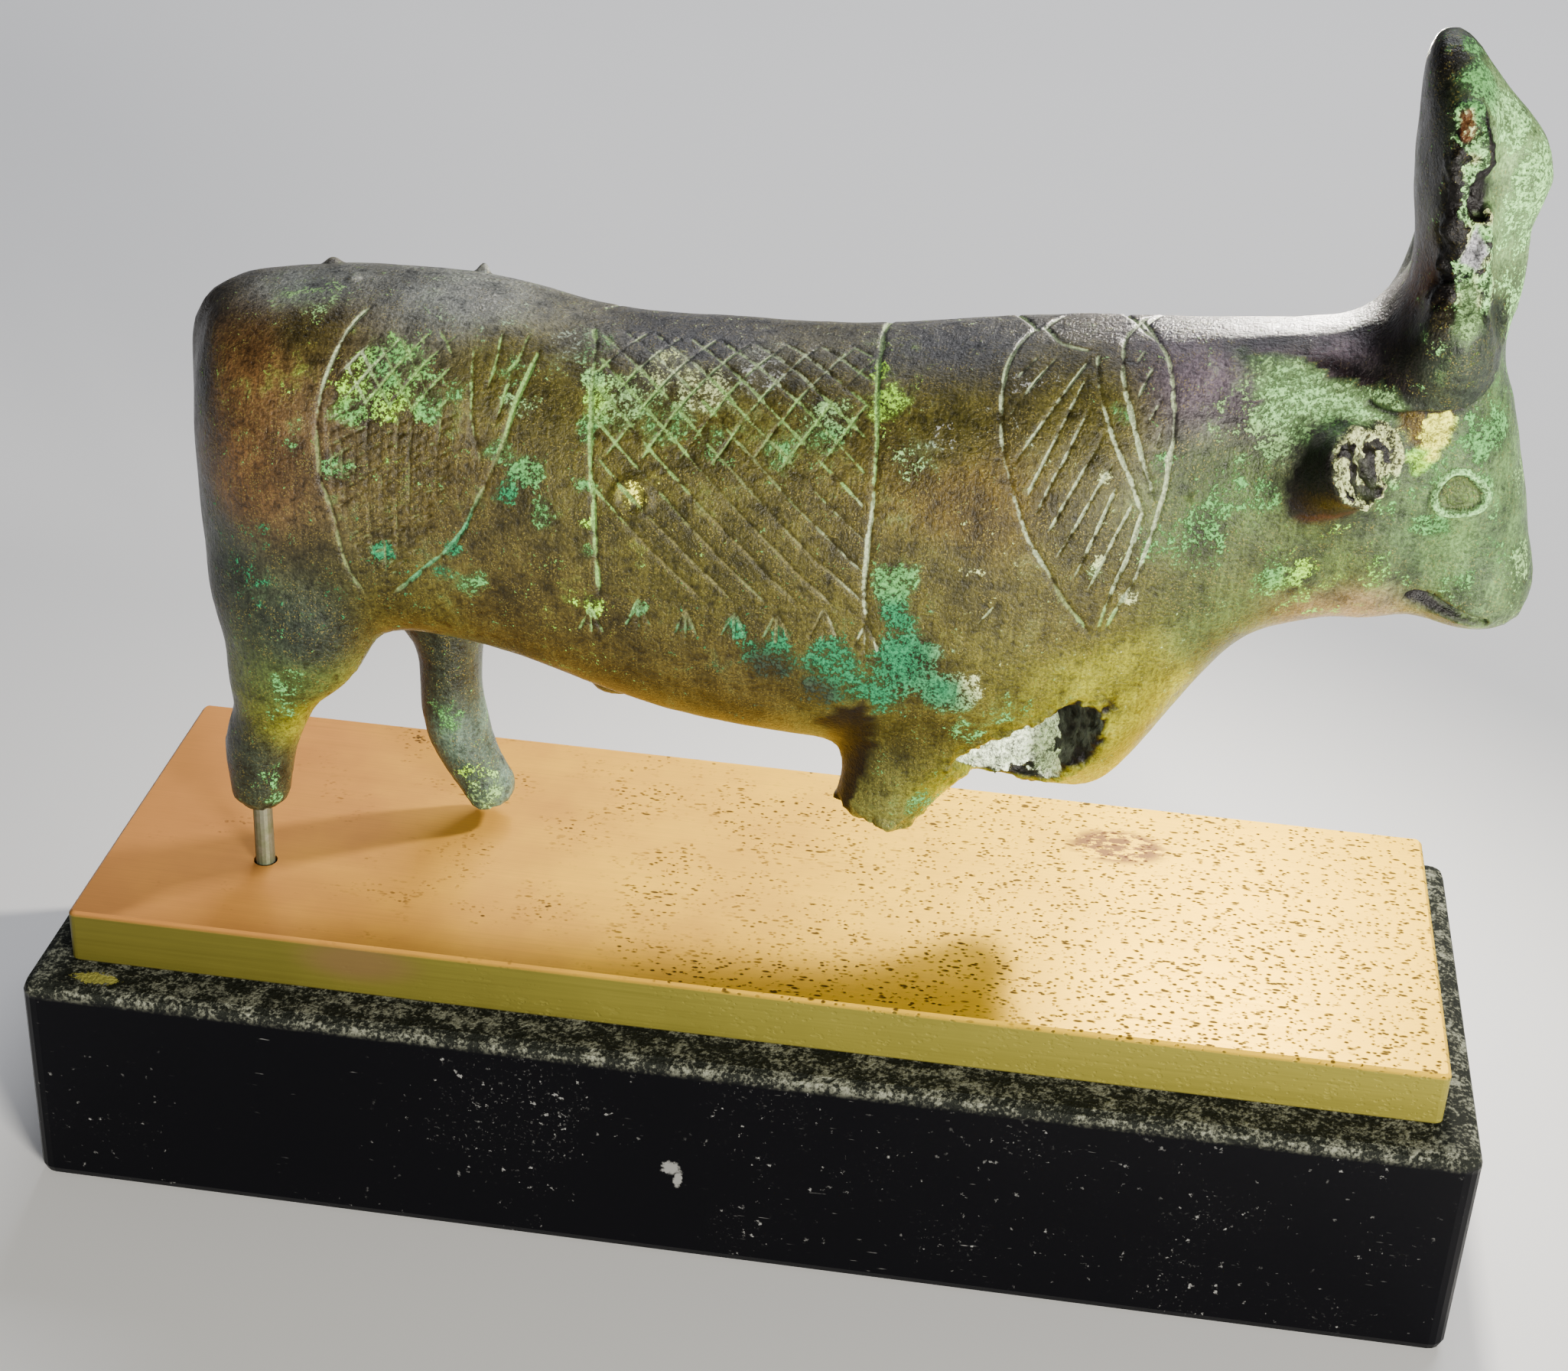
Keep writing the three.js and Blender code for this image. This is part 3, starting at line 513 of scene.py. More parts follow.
SHOULDER_OUTLINES = [
    [(17.9, -0.8), (16.9, 1.4), (16.3, 3.2), (15.8, 5.3), (15.6, 7.4), (15.7, 9.0), (16.0, 10.9),
     (16.5, 13.0), (17.6, 15.9), (18.7, 18.4), (20.2, 20.8), (21.9, 23.5), (24.0, 26.2)],
    [(17.9, -0.6), (18.7, 1.1), (19.5, 2.7), (20.8, 3.4), (22.1, 3.6)],
    [(22.2, 3.7), (22.3, 5.8), (22.9, 8.2), (23.5, 9.8), (24.5, 12.0), (25.5, 13.8), (26.6, 16.1)],
    [(26.7, 15.9), (26.1, 18.1), (25.6, 20.3), (25.2, 21.7), (24.7, 23.4), (24.2, 26.0)],
    [(26.1, -2.1), (25.4, -1.2), (24.7, 0.6), (24.1, 2.0), (24.0, 4.2), (24.3, 6.9), (25.0, 9.0),
     (25.7, 11.0), (26.3, 12.6), (26.9, 14.1), (27.3, 15.7)],
    [(25.2, -1.0), (26.4, 2.4), (27.3, 4.8), (27.8, 7.2), (28.1, 9.4), (28.1, 11.6), (28.0, 13.8),
     (27.6, 16.5), (27.1, 19.0), (26.5, 21.5), (25.5, 23.8), (24.7, 25.9)],
]
SHOULDER_FEATHERS = [
    [(18.2, 3.7), (16.5, 6.3)], [(19.5, 4.0), (16.2, 9.6)], [(21.7, 4.4), (17.0, 13.1)],
    [(21.6, 6.3), (18.1, 15.4)], [(22.1, 8.5), (18.9, 16.6)], [(23.4, 10.0), (19.9, 17.9)],
    [(24.3, 12.2), (20.7, 20.0)], [(24.5, 14.2), (22.1, 21.6)], [(25.8, 15.2), (23.1, 22.6)],
    [(25.7, 3.1), (24.8, 5.3)], [(26.3, 4.8), (25.2, 8.0)], [(27.2, 7.4), (26.0, 9.9)],
    [(27.3, 9.6), (26.8, 11.7)], [(27.9, 11.6), (27.4, 12.7)],
]
HAUNCH_OUTLINES = [
    [(-31.6, 4.6), (-32.5, 6.3), (-33.1, 8.0), (-33.6, 10.0), (-34.0, 11.8), (-34.2, 13.6), (-34.1, 15.5),
     (-33.9, 17.0), (-33.7, 18.7), (-33.1, 20.4), (-32.6, 22.6), (-32.3, 24.9), (-31.7, 26.8),
     (-30.8, 28.4)],
    [(-18.6, 5.6), (-18.9, 7.6), (-19.4, 9.5), (-19.7, 11.1), (-20.1, 13.2), (-20.6, 14.8), (-21.5, 17.3),
     (-22.3, 19.4), (-23.1, 21.3), (-24.3, 23.3), (-25.6, 24.7), (-26.6, 25.9), (-28.7, 28.1)],
]
HAUNCH_FEATHERS = [
    [(-23.2, 6.8), (-22.9, 10.4), (-22.4, 13.6), (-21.7, 15.8)], [(-19.4, 4.3), (-20.0, 7.4), (-20.8, 8.7)],
    [(-21.4, 5.0), (-21.5, 8.0), (-21.9, 10.5)], [(-20.2, 8.8), (-21.0, 12.5)],
]
# Where each of the haunch wing's bands of stacked marks starts and ends
HAUNCH_BANDS = [((-33.0, 12.6), (-32.0, 20.6)), ((-32.0, 13.0), (-31.1, 23.6)),
                ((-30.9, 13.3), (-30.3, 25.4)), ((-29.8, 13.5), (-29.4, 26.6)),
                ((-28.7, 13.4), (-28.5, 26.4)), ((-27.6, 13.2), (-27.6, 24.8)),
                ((-26.5, 13.0), (-26.7, 24.0)), ((-25.4, 12.8), (-25.8, 22.4)),
                ((-24.3, 12.4), (-24.8, 19.6))]
BAND_STEP = 0.95
CLOTH_REAR_BORDER = [(-15.2, 1.8), (-14.6, 4.4), (-14.3, 6.9), (-14.0, 10.0), (-13.9, 12.2), (-13.6, 14.5),
                     (-13.3, 16.0), (-13.0, 19.9), (-12.6, 24.3)]
CLOTH_FRONT_BORDER = [(6.3, -6.0), (6.3, 0.0), (6.3, 1.5), (6.5, 5.5), (6.9, 9.2), (7.2, 13.3), (7.2, 21.9),
                      (7.5, 24.8)]
CLOTH_HEM = [(-12.7, 23.9), (-8.3, 23.8), (-4.5, 24.0), (1.1, 23.5), (6.8, 23.6)]
TASSEL_TOPS = [(-13.3, 25.0), (-9.6, 23.9), (-6.0, 24.4), (-2.3, 24.1), (0.8, 23.9), (4.3, 23.5),
               (7.5, 24.9)]
SCRATCH = [(15.5, 25.2), (16.8, 23.5)]
NET_STEP = 0.3


def slanted(start, slope, low, high):
    """A straight line on the cloth through (start, 4) from low to high, cut off at its borders."""
    down = np.arange(low, high, NET_STEP)
    x = start + (down - 4) / slope
    inside = (x > -14.9 + 0.09 * down) & (x < 6.2 + 0.05 * down)
    return np.c_[x, down][inside]


def cloth_net():
    """Lines down and forward over the whole cloth, and lines down and back over its upper half."""
    forward = [slanted(-25.4 + 2.46 * k, 0.95, 1.6, 23.6) for k in range(14)]
    back = [slanted(-12.4 + 2.6 * k, -1.7, 1.6, 13.4) for k in range(9)]
    return [line for line in forward + back if len(line) > 6]


def haunch_net():
    """Two sets of short crossing lines over the top of the haunch wing."""
    lines = []
    for slope, starts in ((1.5, np.arange(-37, -24, 1.75)), (-1.5, np.arange(-31, -20, 1.75))):
        for start in starts:
            down = np.arange(5.4, 13.2, NET_STEP)
            x = start + (down - 5.4) / slope
            inside = (x > -33 + 0.08 * (13 - down)) & (x < -24.3) & (down > 8.2 - 0.34 * (x + 32.6))
            lines.append(np.c_[x, down][inside])
    return [line for line in lines if len(line) > 5]


def haunch_bands():
    """Down each band, short marks one under another, each slanting down to the rear."""
    marks = []
    for (x, top), (end, low) in HAUNCH_BANDS:
        for down in np.arange(top, low, BAND_STEP):
            middle = x + (end - x) * (down - top) / (low - top)
            marks.append([(middle + 0.40, down), (middle - 0.34, down + 0.42)])
    return marks


def tassels():
    """Three short strokes fanning out from each point along the hem."""
    strokes = []
    for x, down in TASSEL_TOPS:
        for lean in (-1, 0, 1):
            strokes.append([(x, down), (x + lean, down + 3.0 - 0.4 * abs(lean))])
    return strokes


class Sheet:
    """The unrolled flanks as a fine grid: how deep each place is cut, and how much crust fills it."""

    cell = 0.05
    low = np.array([-37.0, -32.0])
    high = np.array([31.0, 32.0])

    def __init__(self):
        self.shape = tuple(((self.high - self.low) / self.cell).astype(int) + 1)
        self.depth = np.zeros(self.shape, np.float32)
        self.crust = np.zeros(self.shape, np.float32)
        self.drawn = 0

    def stroke(self, line, half, depth, crust, taper=0.8):
        """Cuts a V along a line: depth (1 - distance / half), fading to both ends and wavering."""
        line = np.array(line, float)
        self.drawn += 1
        length = np.r_[0, np.cumsum(np.hypot(*np.diff(line, axis=0).T))]
        path = spline(line, max(int(length[-1] / 0.35), 3) + 1)
        along = np.r_[0, np.cumsum(np.hypot(*np.diff(path, axis=0).T))]
        place = np.c_[path, np.full(len(path), 3.7 * self.drawn)]
        waver = 0.10 * np.stack([rough(place, 3.5, 2, 21), rough(place, 3.5, 2, 22)], -1)
        path = path + waver
        press = smooth(0, taper, along) * smooth(0, taper, along[-1] - along)
        press = (0.3 + 0.7 * press) * (0.85 + 0.4 * rough(place, 2.1, 2, 23))
        reach = 1.6 * half
        for a, b, before, after in zip(path[:-1], path[1:], press[:-1], press[1:]):
            first = np.floor((np.minimum(a, b) - reach - self.low) / self.cell).astype(int)
            last = np.ceil((np.maximum(a, b) + reach - self.low) / self.cell).astype(int) + 1
            first, last = np.maximum(first, 0), np.minimum(last, self.shape)
            if (last <= first).any():
                continue
            window = tuple(slice(*ends) for ends in zip(first, last))
            x = (self.low[0] + self.cell * np.arange(first[0], last[0]))[:, None]
            down = (self.low[1] + self.cell * np.arange(first[1], last[1]))[None]
            way = b - a
            t = np.clip(((x - a[0]) * way[0] + (down - a[1]) * way[1]) / max(way @ way, 1e-9), 0, 1)
            distance = np.hypot(x - a[0] - t * way[0], down - a[1] - t * way[1])
            strength = before + t * (after - before)
            groove = depth * strength * np.clip(1 - distance / half, 0, 1)
            filling = crust * np.clip(strength, 0, 1.2) * np.clip(1.25 - distance / half, 0, 1)
            self.depth[window] = np.maximum(self.depth[window], groove)
            self.crust[window] = np.maximum(self.crust[window], filling)

    def widened(self, reach):
        """1 within reach of anything drawn, 0 elsewhere."""
        wide = self.crust > 0.02
        for axis in (0, 1):
            spread = wide.copy()
            for step in range(1, int(reach / self.cell) + 1):
                spread |= np.roll(wide, step, axis) | np.roll(wide, -step, axis)
            wide = spread
        return wide.astype(np.float32)

    def sample(self, grid, x, down):
        """The grid's value at each (x, down), blended between its cells; 0 outside it."""
        u = (x - self.low[0]) / self.cell
        v = (down - self.low[1]) / self.cell
        inside = (u > 0) & (v > 0) & (u < self.shape[0] - 1) & (v < self.shape[1] - 1)
        u, v = np.where(inside, u, 0.5), np.where(inside, v, 0.5)
        return np.where(inside, between_cells(grid, u, v), 0)


def engraved_sheet(depth, half):
    """All that is engraved on the flanks: the near side in full, the far side's outlines and borders."""
    sheet = Sheet()
    for side in (1, -1):
        front = CLOTH_FRONT_BORDER[1 if side < 0 else 0:]
        for lines, width, press, crust in ((SHOULDER_OUTLINES + HAUNCH_OUTLINES, 1.15, 1, 1.0),
                                           ([CLOTH_REAR_BORDER, front], 1.15, 1, 1.1),
                                           ([CLOTH_HEM], 0.7, 0.5, 0.45)):
            for line in lines:
                sheet.stroke(np.array(line) * [1, side], width * half, press * depth, crust)
    band_lines = [[(x - 0.5, top), (end - 0.5, low)] for (x, top), (end, low) in HAUNCH_BANDS]
    for lines, width, press, crust, taper in ((SHOULDER_FEATHERS + HAUNCH_FEATHERS, 0.85, 0.8, 0.8, 0.8),
                                              (cloth_net(), 0.85, 0.8, 0.85, 0.8),
                                              (haunch_net(), 0.8, 0.7, 0.7, 0.8),
                                              (band_lines, 0.7, 0.8, 0.46, 0.8),
                                              (haunch_bands(), 1.1, 0.9, 0.50, 0.2),
                                              (tassels(), 0.8, 0.7, 0.8, 0.5),
                                              ([SCRATCH], 0.8, 0.6, 1.1, 0.4)):
        for line in lines:
            sheet.stroke(line, width * half, press * depth, crust, taper)
    return sheet


# The bull's own relief away from the flanks

EYE = np.array([48.9, 6.7, 43.75])
EAR_END = np.array([NEAR_EAR[-1][0], -NEAR_EAR[-1][1], NEAR_EAR[-1][2]])
EAR_AXIS = np.array([0.66, 0.62, 0.42]) / math.hypot(0.66, 0.62, 0.42)
LIPS = [(47.1, 4.6, 34.7), (48.2, 4.9, 34.3), (49.6, 5.0, 33.7), (51.2, 5.0, 33.1), (52.6, 4.8, 32.8)]
NODULE = np.array([-10.4, -11.9, 39.2])
WARTS = [((-37.1, 4.6, 49.2), 1.1, 0.55), ((-25.2, 4.6, 49.3), 0.75, 0.75), ((-33.9, -0.9, 50.1), 0.8, 0.25),
         ((30.0, -8.9, 42.5), 0.7, 0.3), ((31.2, -8.7, 42.0), 0.5, 0.3), ((10.6, -5.4, 47.9), 0.5, 0.2)]


def near(points, place):
    return np.linalg.norm(points - np.array(place), axis=1)


def both_sides(points):
    """Points of either side turned to the side where y is positive."""
    return np.c_[points[:, 0], np.abs(points[:, 1]), points[:, 2]]


def distance_to_path(points, path):
    """The least distance from each point to the straight pieces of a path."""
    least = np.full(len(points), 1e9)
    for a, b in zip(path[:-1], path[1:]):
        way = b - a
        t = np.clip((points - a) @ way / (way @ way), 0, 1)
        least = np.minimum(least, np.linalg.norm(points - a - t[:, None] * way, axis=1))
    return least


def within(points, outline, soft=0.12, waver=0.2, seed=60):
    """1 where a point of the near side lies inside an outline of (x, z) corners, 0 outside, with a wavering
    edge. A point is inside when a line going up from it crosses an odd number of the outline's sides."""
    x, y, z = points.T
    corners = np.array(outline)
    least = np.full(len(points), 1e9)
    odd = np.zeros(len(points), bool)
    for a, b in zip(corners, np.roll(corners, -1, axis=0)):
        way = b - a
        t = np.clip(((x - a[0]) * way[0] + (z - a[1]) * way[1]) / (way @ way), 0, 1)
        least = np.minimum(least, np.hypot(x - a[0] - t * way[0], z - a[1] - t * way[1]))
        if way[0]:
            odd ^= ((a[0] > x) != (b[0] > x)) & (a[1] + (x - a[0]) * way[1] / way[0] > z)
    inwards = np.where(odd, least, -least) + waver * rough(points, 0.9, 2, seed)
    return smooth(-soft, soft, inwards) * (y < -1.5)


def crown_break_share(points):
    """1 on the crown's broken near edge, fading to 0 round it."""
    x, y, z = points.T
    return (smooth(4.6, 5.2, -y) * smooth(43.6, 44.6, x) * smooth(49.6, 48.6, x) * smooth(57.0, 58.4, z)
            * smooth(76.5, 74.8, z))


def hole_share(points):
    """1 inside the hole in the chest: inside its outline and below the trunk's form, fading to 0."""
    outline = spline(CHEST_HOLE + CHEST_HOLE[:1], 61)[:-1]
    middle = outline.mean(0)
    reach = np.linalg.norm(outline - middle, axis=1)
    rel = points - middle
    depth = rel @ CHEST_OUT
    flat = rel - depth[:, None] * CHEST_OUT
    away = np.linalg.norm(flat, axis=1)
    edge = reach[np.argmax(flat @ ((outline - middle) / reach[:, None]).T, axis=1)]
    below = np.maximum(smooth(-0.10, -0.45, unroll(points)[1]), smooth(-1.0, -1.6, depth))
    return below * smooth(1.35, 1.22, away / edge) * (np.abs(depth) < 7)


def hole_edge_share(points):
    """1 along the edge of the hole, fading to 0 a little way off it."""
    return smooth(1.7, 0.6, distance_to_path(points, spline(CHEST_HOLE + CHEST_HOLE[:1], 60)))


# Where the horn's boss ends above the face, as z at each x
BOSS_EDGE = through([(36.0, 53.0), (38.0, 52.2), (39.6, 51.4), (40.9, 50.8), (42.2, 50.1), (43.3, 49.9),
                     (45.0, 50.0), (46.5, 50.2), (47.9, 50.6), (49.0, 51.5), (49.7, 52.7), (50.2, 55.0)])
CROTCH = [(4.3, 22.0), (5.9, 23.2), (7.9, 24.4), (8.3, 22.5), (8.4, 20.2), (8.2, 17.7), (7.4, 15.2),
          (6.6, 11.0), (3.4, 11.0), (4.6, 17.0), (5.2, 20.2), (4.0, 20.9)]
# Where the near ear's painted shadow and shade lie, as (x, z) corners
EAR_SHADE_OUTLINE = [(36.4, 42.5), (36.5, 44.0), (36.7, 45.4), (37.5, 47.1), (38.6, 47.8), (39.9, 48.3),
              (41.6, 48.4), (42.6, 46.0), (41.6, 42.4), (40.4, 41.7), (37.7, 41.0), (36.7, 41.7)]
PALE_FOLD = [(40.6, 50.2), (42.2, 49.5), (43.4, 49.5), (43.4, 48.9), (42.2, 48.5), (40.4, 48.9),
             (38.0, 48.6), (36.4, 47.4), (34.0, 48.0), (33.4, 50.6), (36.6, 51.4)]


def boss_step(points):
    """1 on the boss and 0 on the face under it, by the height over the boss's edge; and that height."""
    x, y, z = points.T
    above = z - BOSS_EDGE(x) + 0.15 * rough(points, 1.1, 2, 61)
    place = smooth(41.5, 43, x) * smooth(50.6, 50.0, x) * (np.abs(y) > 1.2) * (above > -3)
    return place * smooth(-0.15, 0.2, above), np.where(place > 0, above, -9)


def ear_face(points):
    """How far each point lies beyond the nearer ear's end face, and how far it is from the ear's axis."""
    rel = both_sides(points) - EAR_END
    along = rel @ EAR_AXIS
    return along, np.linalg.norm(rel - along[:, None] * EAR_AXIS, axis=1)


def ear_share(points):
    """1 on the rough end face of either ear, fading to 0 along its side."""
    along, away = ear_face(points)
    return smooth(-0.9, -0.35, along) * (away < 3.9) * (along < 2)


# The longest edges of the skin, from its plain parts to its finest, in millimetres
COARSE_EDGE = 1.15
BAND_EDGES = (0.52, 0.29)
FAR_EAR_EDGE = 0.45
LEG_EDGE = 0.4
NODULE_EDGE = 0.35
BROKEN_EDGE = 0.28
FACE_EDGE = 0.26
NEAR_EAR_EDGE = 0.24
WART_EDGE = 0.22
LINE_EDGE = 0.19


def detail_limit(points, sheet, bands):
    """How long an edge may be at each place, in millimetres; each rule goes over those before it."""
    x, down = sheet_place(points)
    side = both_sides(points)
    near_side = points[:, 1] < 0
    ear = ear_share(points) > 0.05
    rules = [(sheet.sample(band, x, down) > 0.5, length) for band, length in zip(bands, BAND_EDGES)]
    rules += [
        (sheet.sample(sheet.crust, x, down) > 0.38, LINE_EDGE),
        (near(side, EYE) < 3.1, FACE_EDGE),
        (distance_to_path(side, np.array(LIPS)) < 0.9, FACE_EDGE),
        (ear, FAR_EAR_EDGE),
        (ear & near_side, NEAR_EAR_EDGE),
        (crown_break_share(points) > 0.05, BROKEN_EDGE),
        (hole_share(points) + hole_edge_share(points) > 0.05, BROKEN_EDGE),
        ((np.abs(boss_step(points)[1]) < 0.6) & near_side, FACE_EDGE),
        (near(points, NODULE) < 2.3, NODULE_EDGE),
    ]
    rules += [(near(points, place) < reach + 0.6, WART_EDGE) for place, reach, _ in WARTS]
    rules += [(near(points, station[:3]) < reach, LEG_EDGE) for station, reach in LEG_ENDS]
    limit = np.full(len(points), COARSE_EDGE)
    for chosen, length in rules:
        limit[chosen] = length
    return limit


def sheet_place(points):
    """Where each point lies on the sheet; a point off the flanks is sent outside it."""
    down, off = unroll(points)
    on_flank = (np.abs(off) < 1.9) & (points[:, 2] > 20)
    return np.where(on_flank, points[:, 0], -99.0), down


def relief(points, sheet):
    """How far each point moves out along its normal, in millimetres, and the crust in the engraving."""
    side = both_sides(points)
    x, down = sheet_place(points)
    head = smooth(34, 42, points[:, 0]) * smooth(60, 54, points[:, 2])
    height = 0.10 * rough(points, 7.0, 2, 31) + 0.03 * rough(points, 1.7, 2, 32)
    height += 0.14 * head * rough(points, 3.4, 2, 38)
    height -= sheet.sample(sheet.depth, x, down)
    crust = sheet.sample(sheet.crust, x, down)
    # Eye: a thick raised ring, pointed at the top, round a flat field
    across, on_face = eye_place(side)
    height += on_face * (0.30 * np.exp(-((across - 1.66) / 0.24) ** 2) - 0.26 * smooth(1.45, 1.25, across))
    # Mouth: a slit between the lips
    slit = distance_to_path(side, np.array(LIPS))
    half = 0.75 - 0.45 * smooth(47.5, 52.5, points[:, 0])
    height += -0.85 * np.clip(1.15 - slit / half, 0, 1) + 0.10 * np.exp(-((slit - half - 0.25) / 0.25) ** 2)
    # Rough ends: the ears, the crown's break, the hole, the broken far foreleg
    ear = ear_share(points)
    height += ear * (0.36 * rough(points, 0.85, 3, 34) - 0.40 * smooth(2.7, 2.1, ear_face(points)[1]))
    broken = crown_break_share(points)
    height += broken * (0.46 * rough(points, 1.3, 3, 35) + 0.08)
    hole = hole_share(points)
    height += np.maximum(hole, hole_edge_share(points)) * 0.30 * rough(points, 0.9, 3, 36)
    for foreleg, drop, rise in ((FAR_FORELEG, 1.2, 0.42), (NEAR_FORELEG, 0.9, 0.36)):
        share = smooth(2.4, 0.8, points[:, 2] - foreleg[0][2] + drop) * (near(points, foreleg[0][:3]) < 4.6)
        height += share * rise * rough(points, 1.3, 3, 37)
    # The boss stands over the face, with a crease under its edge
    boss, above = boss_step(points)
    height += 0.42 * boss * smooth(5, 1, above) - 0.22 * np.exp(-((above + 0.30) / 0.22) ** 2)
    # Crusts and warts that stand up
    crusted = near(points, NODULE)
    height += 0.24 * np.exp(-((crusted - 1.35) / 0.36) ** 2) + 0.12 * smooth(1.0, 0.3, crusted)
    for place, reach, rise in WARTS:
        height += rise * smooth(reach, 0.15 * reach, near(points, place))
    return height, crust


def eye_place(side):
    """How far each point is from the eye, in a measure whose circles are blunt triangles, and whether
    it lies on the face."""
    ahead, up = side[:, 0] - EYE[0], side[:, 2] - EYE[2]
    pointed = 1 + 0.09 * np.cos(3 * (np.arctan2(up, ahead) - np.radians(105)))
    across = np.hypot(ahead / 1.12, up) / pointed + 0.06 * rough(side, 0.9, 1, 33)
    return across, smooth(5.2, 6.0, side[:, 1]) * (np.abs(ahead) < 4)


def bull_shells():
    """The closed shells that the bull is cast from, with the breaks cut into them."""
    hollow = tube(chest_hollow_rings())
    broken = [tube(crown_break_rings())] + [tube(limb_rings(cavity, 14, 10)) for cavity in CROWN_CAVITIES]
    angle = round_angles(16)
    pin_hole = np.array([np.c_[PIN_X + PIN_HOLE_RADIUS * np.cos(angle),
                               PIN_Y + PIN_HOLE_RADIUS * np.sin(angle),
                               np.full(16, z)] for z in (2.0, PIN_HOLE_TOP)])
    shells = [
        cut(tube(trunk_rings(144, 220)), [hollow]),
        cut(tube(limb_rings(NEAR_FORELEG_END + NEAR_FORELEG[3:], 72, 66)), [hollow, tube(stump_rings())]),
        cut(tube(limb_rings(FAR_FORELEG, 60, 50)), [hollow]),
        cut(tube(upright_rings(CROWN, 96, 110, 2.3, 1.6)), broken),
        cut(tube(limb_rings(NEAR_HORN, 56, 24)), broken[:1]),
        cut(tube(limb_rings(NEAR_HIND_LEG, 64, 90)), [tube(pin_hole)]),
        tube(upright_rings(FACE, 96, 110, 2.4, 0)),
    ]
    for stations, sides, steps in ((FAR_HIND_LEG, 60, 100), (SERPENT, 40, 80), (FAR_HORN, 40, 80),
                                   (NEAR_EAR, 56, 24), (mirrored(NEAR_EAR), 56, 24), (TAIL, 28, 100),
                                   (SHEATH, 28, 24)):
        shells.append(tube(limb_rings(stations, sides, steps)))
    angle = round_angles(36)
    for side in (1, -1):
        rings = [np.c_[EYE[0] + reach * np.cos(angle), np.full(36, side * y),
                       EYE[2] + 0.95 * reach * np.sin(angle)]
                 for y, reach in ((4.4, 2.5), (6.4, 2.35), (6.85, 2.15), (6.95, 1.7))]
        shells.append(tube(np.array(rings)))
    return shells


def fill_creases(points, faces, rounds, share):
    """Rounds the inner corners where limbs meet: a point moves to its neighbours' mean only outwards."""
    mean = neighbour_mean(faces, len(points))
    normals = normals_of(points, faces)
    for turn in range(rounds):
        out = ((mean(points) - points) * normals).sum(1)
        points = points + (share * np.maximum(out, 0))[:, None] * normals
        if turn % 4 == 3:
            normals = normals_of(points, faces)
    return points


LEG_ENDS = [(NEAR_FORELEG[0], 3.8), (NEAR_HIND_LEG[0], 2.6), (FAR_HIND_LEG[0], 2.8), (FAR_FORELEG[0], 3.4)]


def crispness(points):
    """1 where edges stay crisp, by the breaks, the hole, the ears and the legs' ends, and 0 elsewhere."""
    ear = smooth(4.6, 3.8, near(both_sides(points), EAR_END)) * smooth(-1.8, -0.8, ear_face(points)[0])
    ends = [smooth(reach + 1, reach, near(points, station[:3])) for station, reach in LEG_ENDS]
    return np.maximum.reduce([crown_break_share(points), hole_share(points), hole_edge_share(points), ear,
                              *ends])


def bull_skin(grain, sheet):
    """The bull's points, triangles and attributes: shells cast together, inner corners rounded, the skin
    smoothed, refined along the engraving and moved out or in by the relief."""
    points, faces = cast_together(bull_shells(), grain)
    soft = 1 - crispness(points)
    crotch = smooth(6, 3.5, near(points, (5.2, -7.5, 19.5)))
    points = fill_creases(points, faces, 14, 0.8 * soft * (1 - 0.8 * crotch))
    points = relax(points, faces, 0.06 + 0.40 * soft, 4)
    bands = [sheet.widened(0.55), sheet.widened(0.15)]
    for _ in range(3):
        points, faces = halve_edges(points, faces, lambda middle: detail_limit(middle, sheet, bands))
        points = relax(points, faces, 0.2 - 0.16 * crispness(points), 1)
    normals = normals_of(points, faces)
    height, crust = relief(points, sheet)
    return points + height[:, None] * normals, faces, crust


# Colours of the bull's skin, by place

PALETTE = {
    "olive": (0.056, 0.049, 0.007),
    "leg olive": (0.085, 0.085, 0.018),
    "brown": (0.048, 0.036, 0.007),
    "red brown": (0.100, 0.050, 0.015),
    "black brown and painted shade": (0.0035, 0.0022, 0.0018),
    "dark green and painted shade": (0.020, 0.028, 0.017),
    "green olive": (0.055, 0.085, 0.020),
    "yellow olive": (0.19, 0.19, 0.008),
    "ochre": (0.080, 0.052, 0.004),
    "rust": (0.12, 0.038, 0.010),
    "rust and painted shade": (0.045, 0.014, 0.004),
    "grey back and painted sheen": (0.050, 0.050, 0.052),
    "rump grey painted sheen": (0.150, 0.158, 0.142),
    "neck top": (0.030, 0.024, 0.030),
    "purple": (0.11, 0.085, 0.105),
    "crest painted shade": (0.011, 0.006, 0.007),
    "head green": (0.085, 0.160, 0.050),
    "jaw pink": (0.22, 0.15, 0.075),
    "hoof grey": (0.070, 0.115, 0.085),
    "malachite": (0.085, 0.25, 0.070),
    "teal": (0.012, 0.150, 0.058),
    "lime": (0.30, 0.58, 0.04),
    "cream": (0.40, 0.44, 0.20),
    "pale green": (0.20, 0.34, 0.13),
    "bright green": (0.25, 0.50, 0.18),
    "white green and painted light": (0.72, 0.82, 0.60),
    "yellow": (0.82, 0.82, 0.10),
    "dust": (0.20, 0.20, 0.19),
    "lilac grey": (0.34, 0.34, 0.36),
    "line pale": (0.46, 0.54, 0.33),
    "line lime": (0.27, 0.48, 0.13),
    "line dull": (0.15, 0.13, 0.045),
    "line olive": (0.17, 0.20, 0.075),
    "line teal": (0.07, 0.32, 0.14),
}
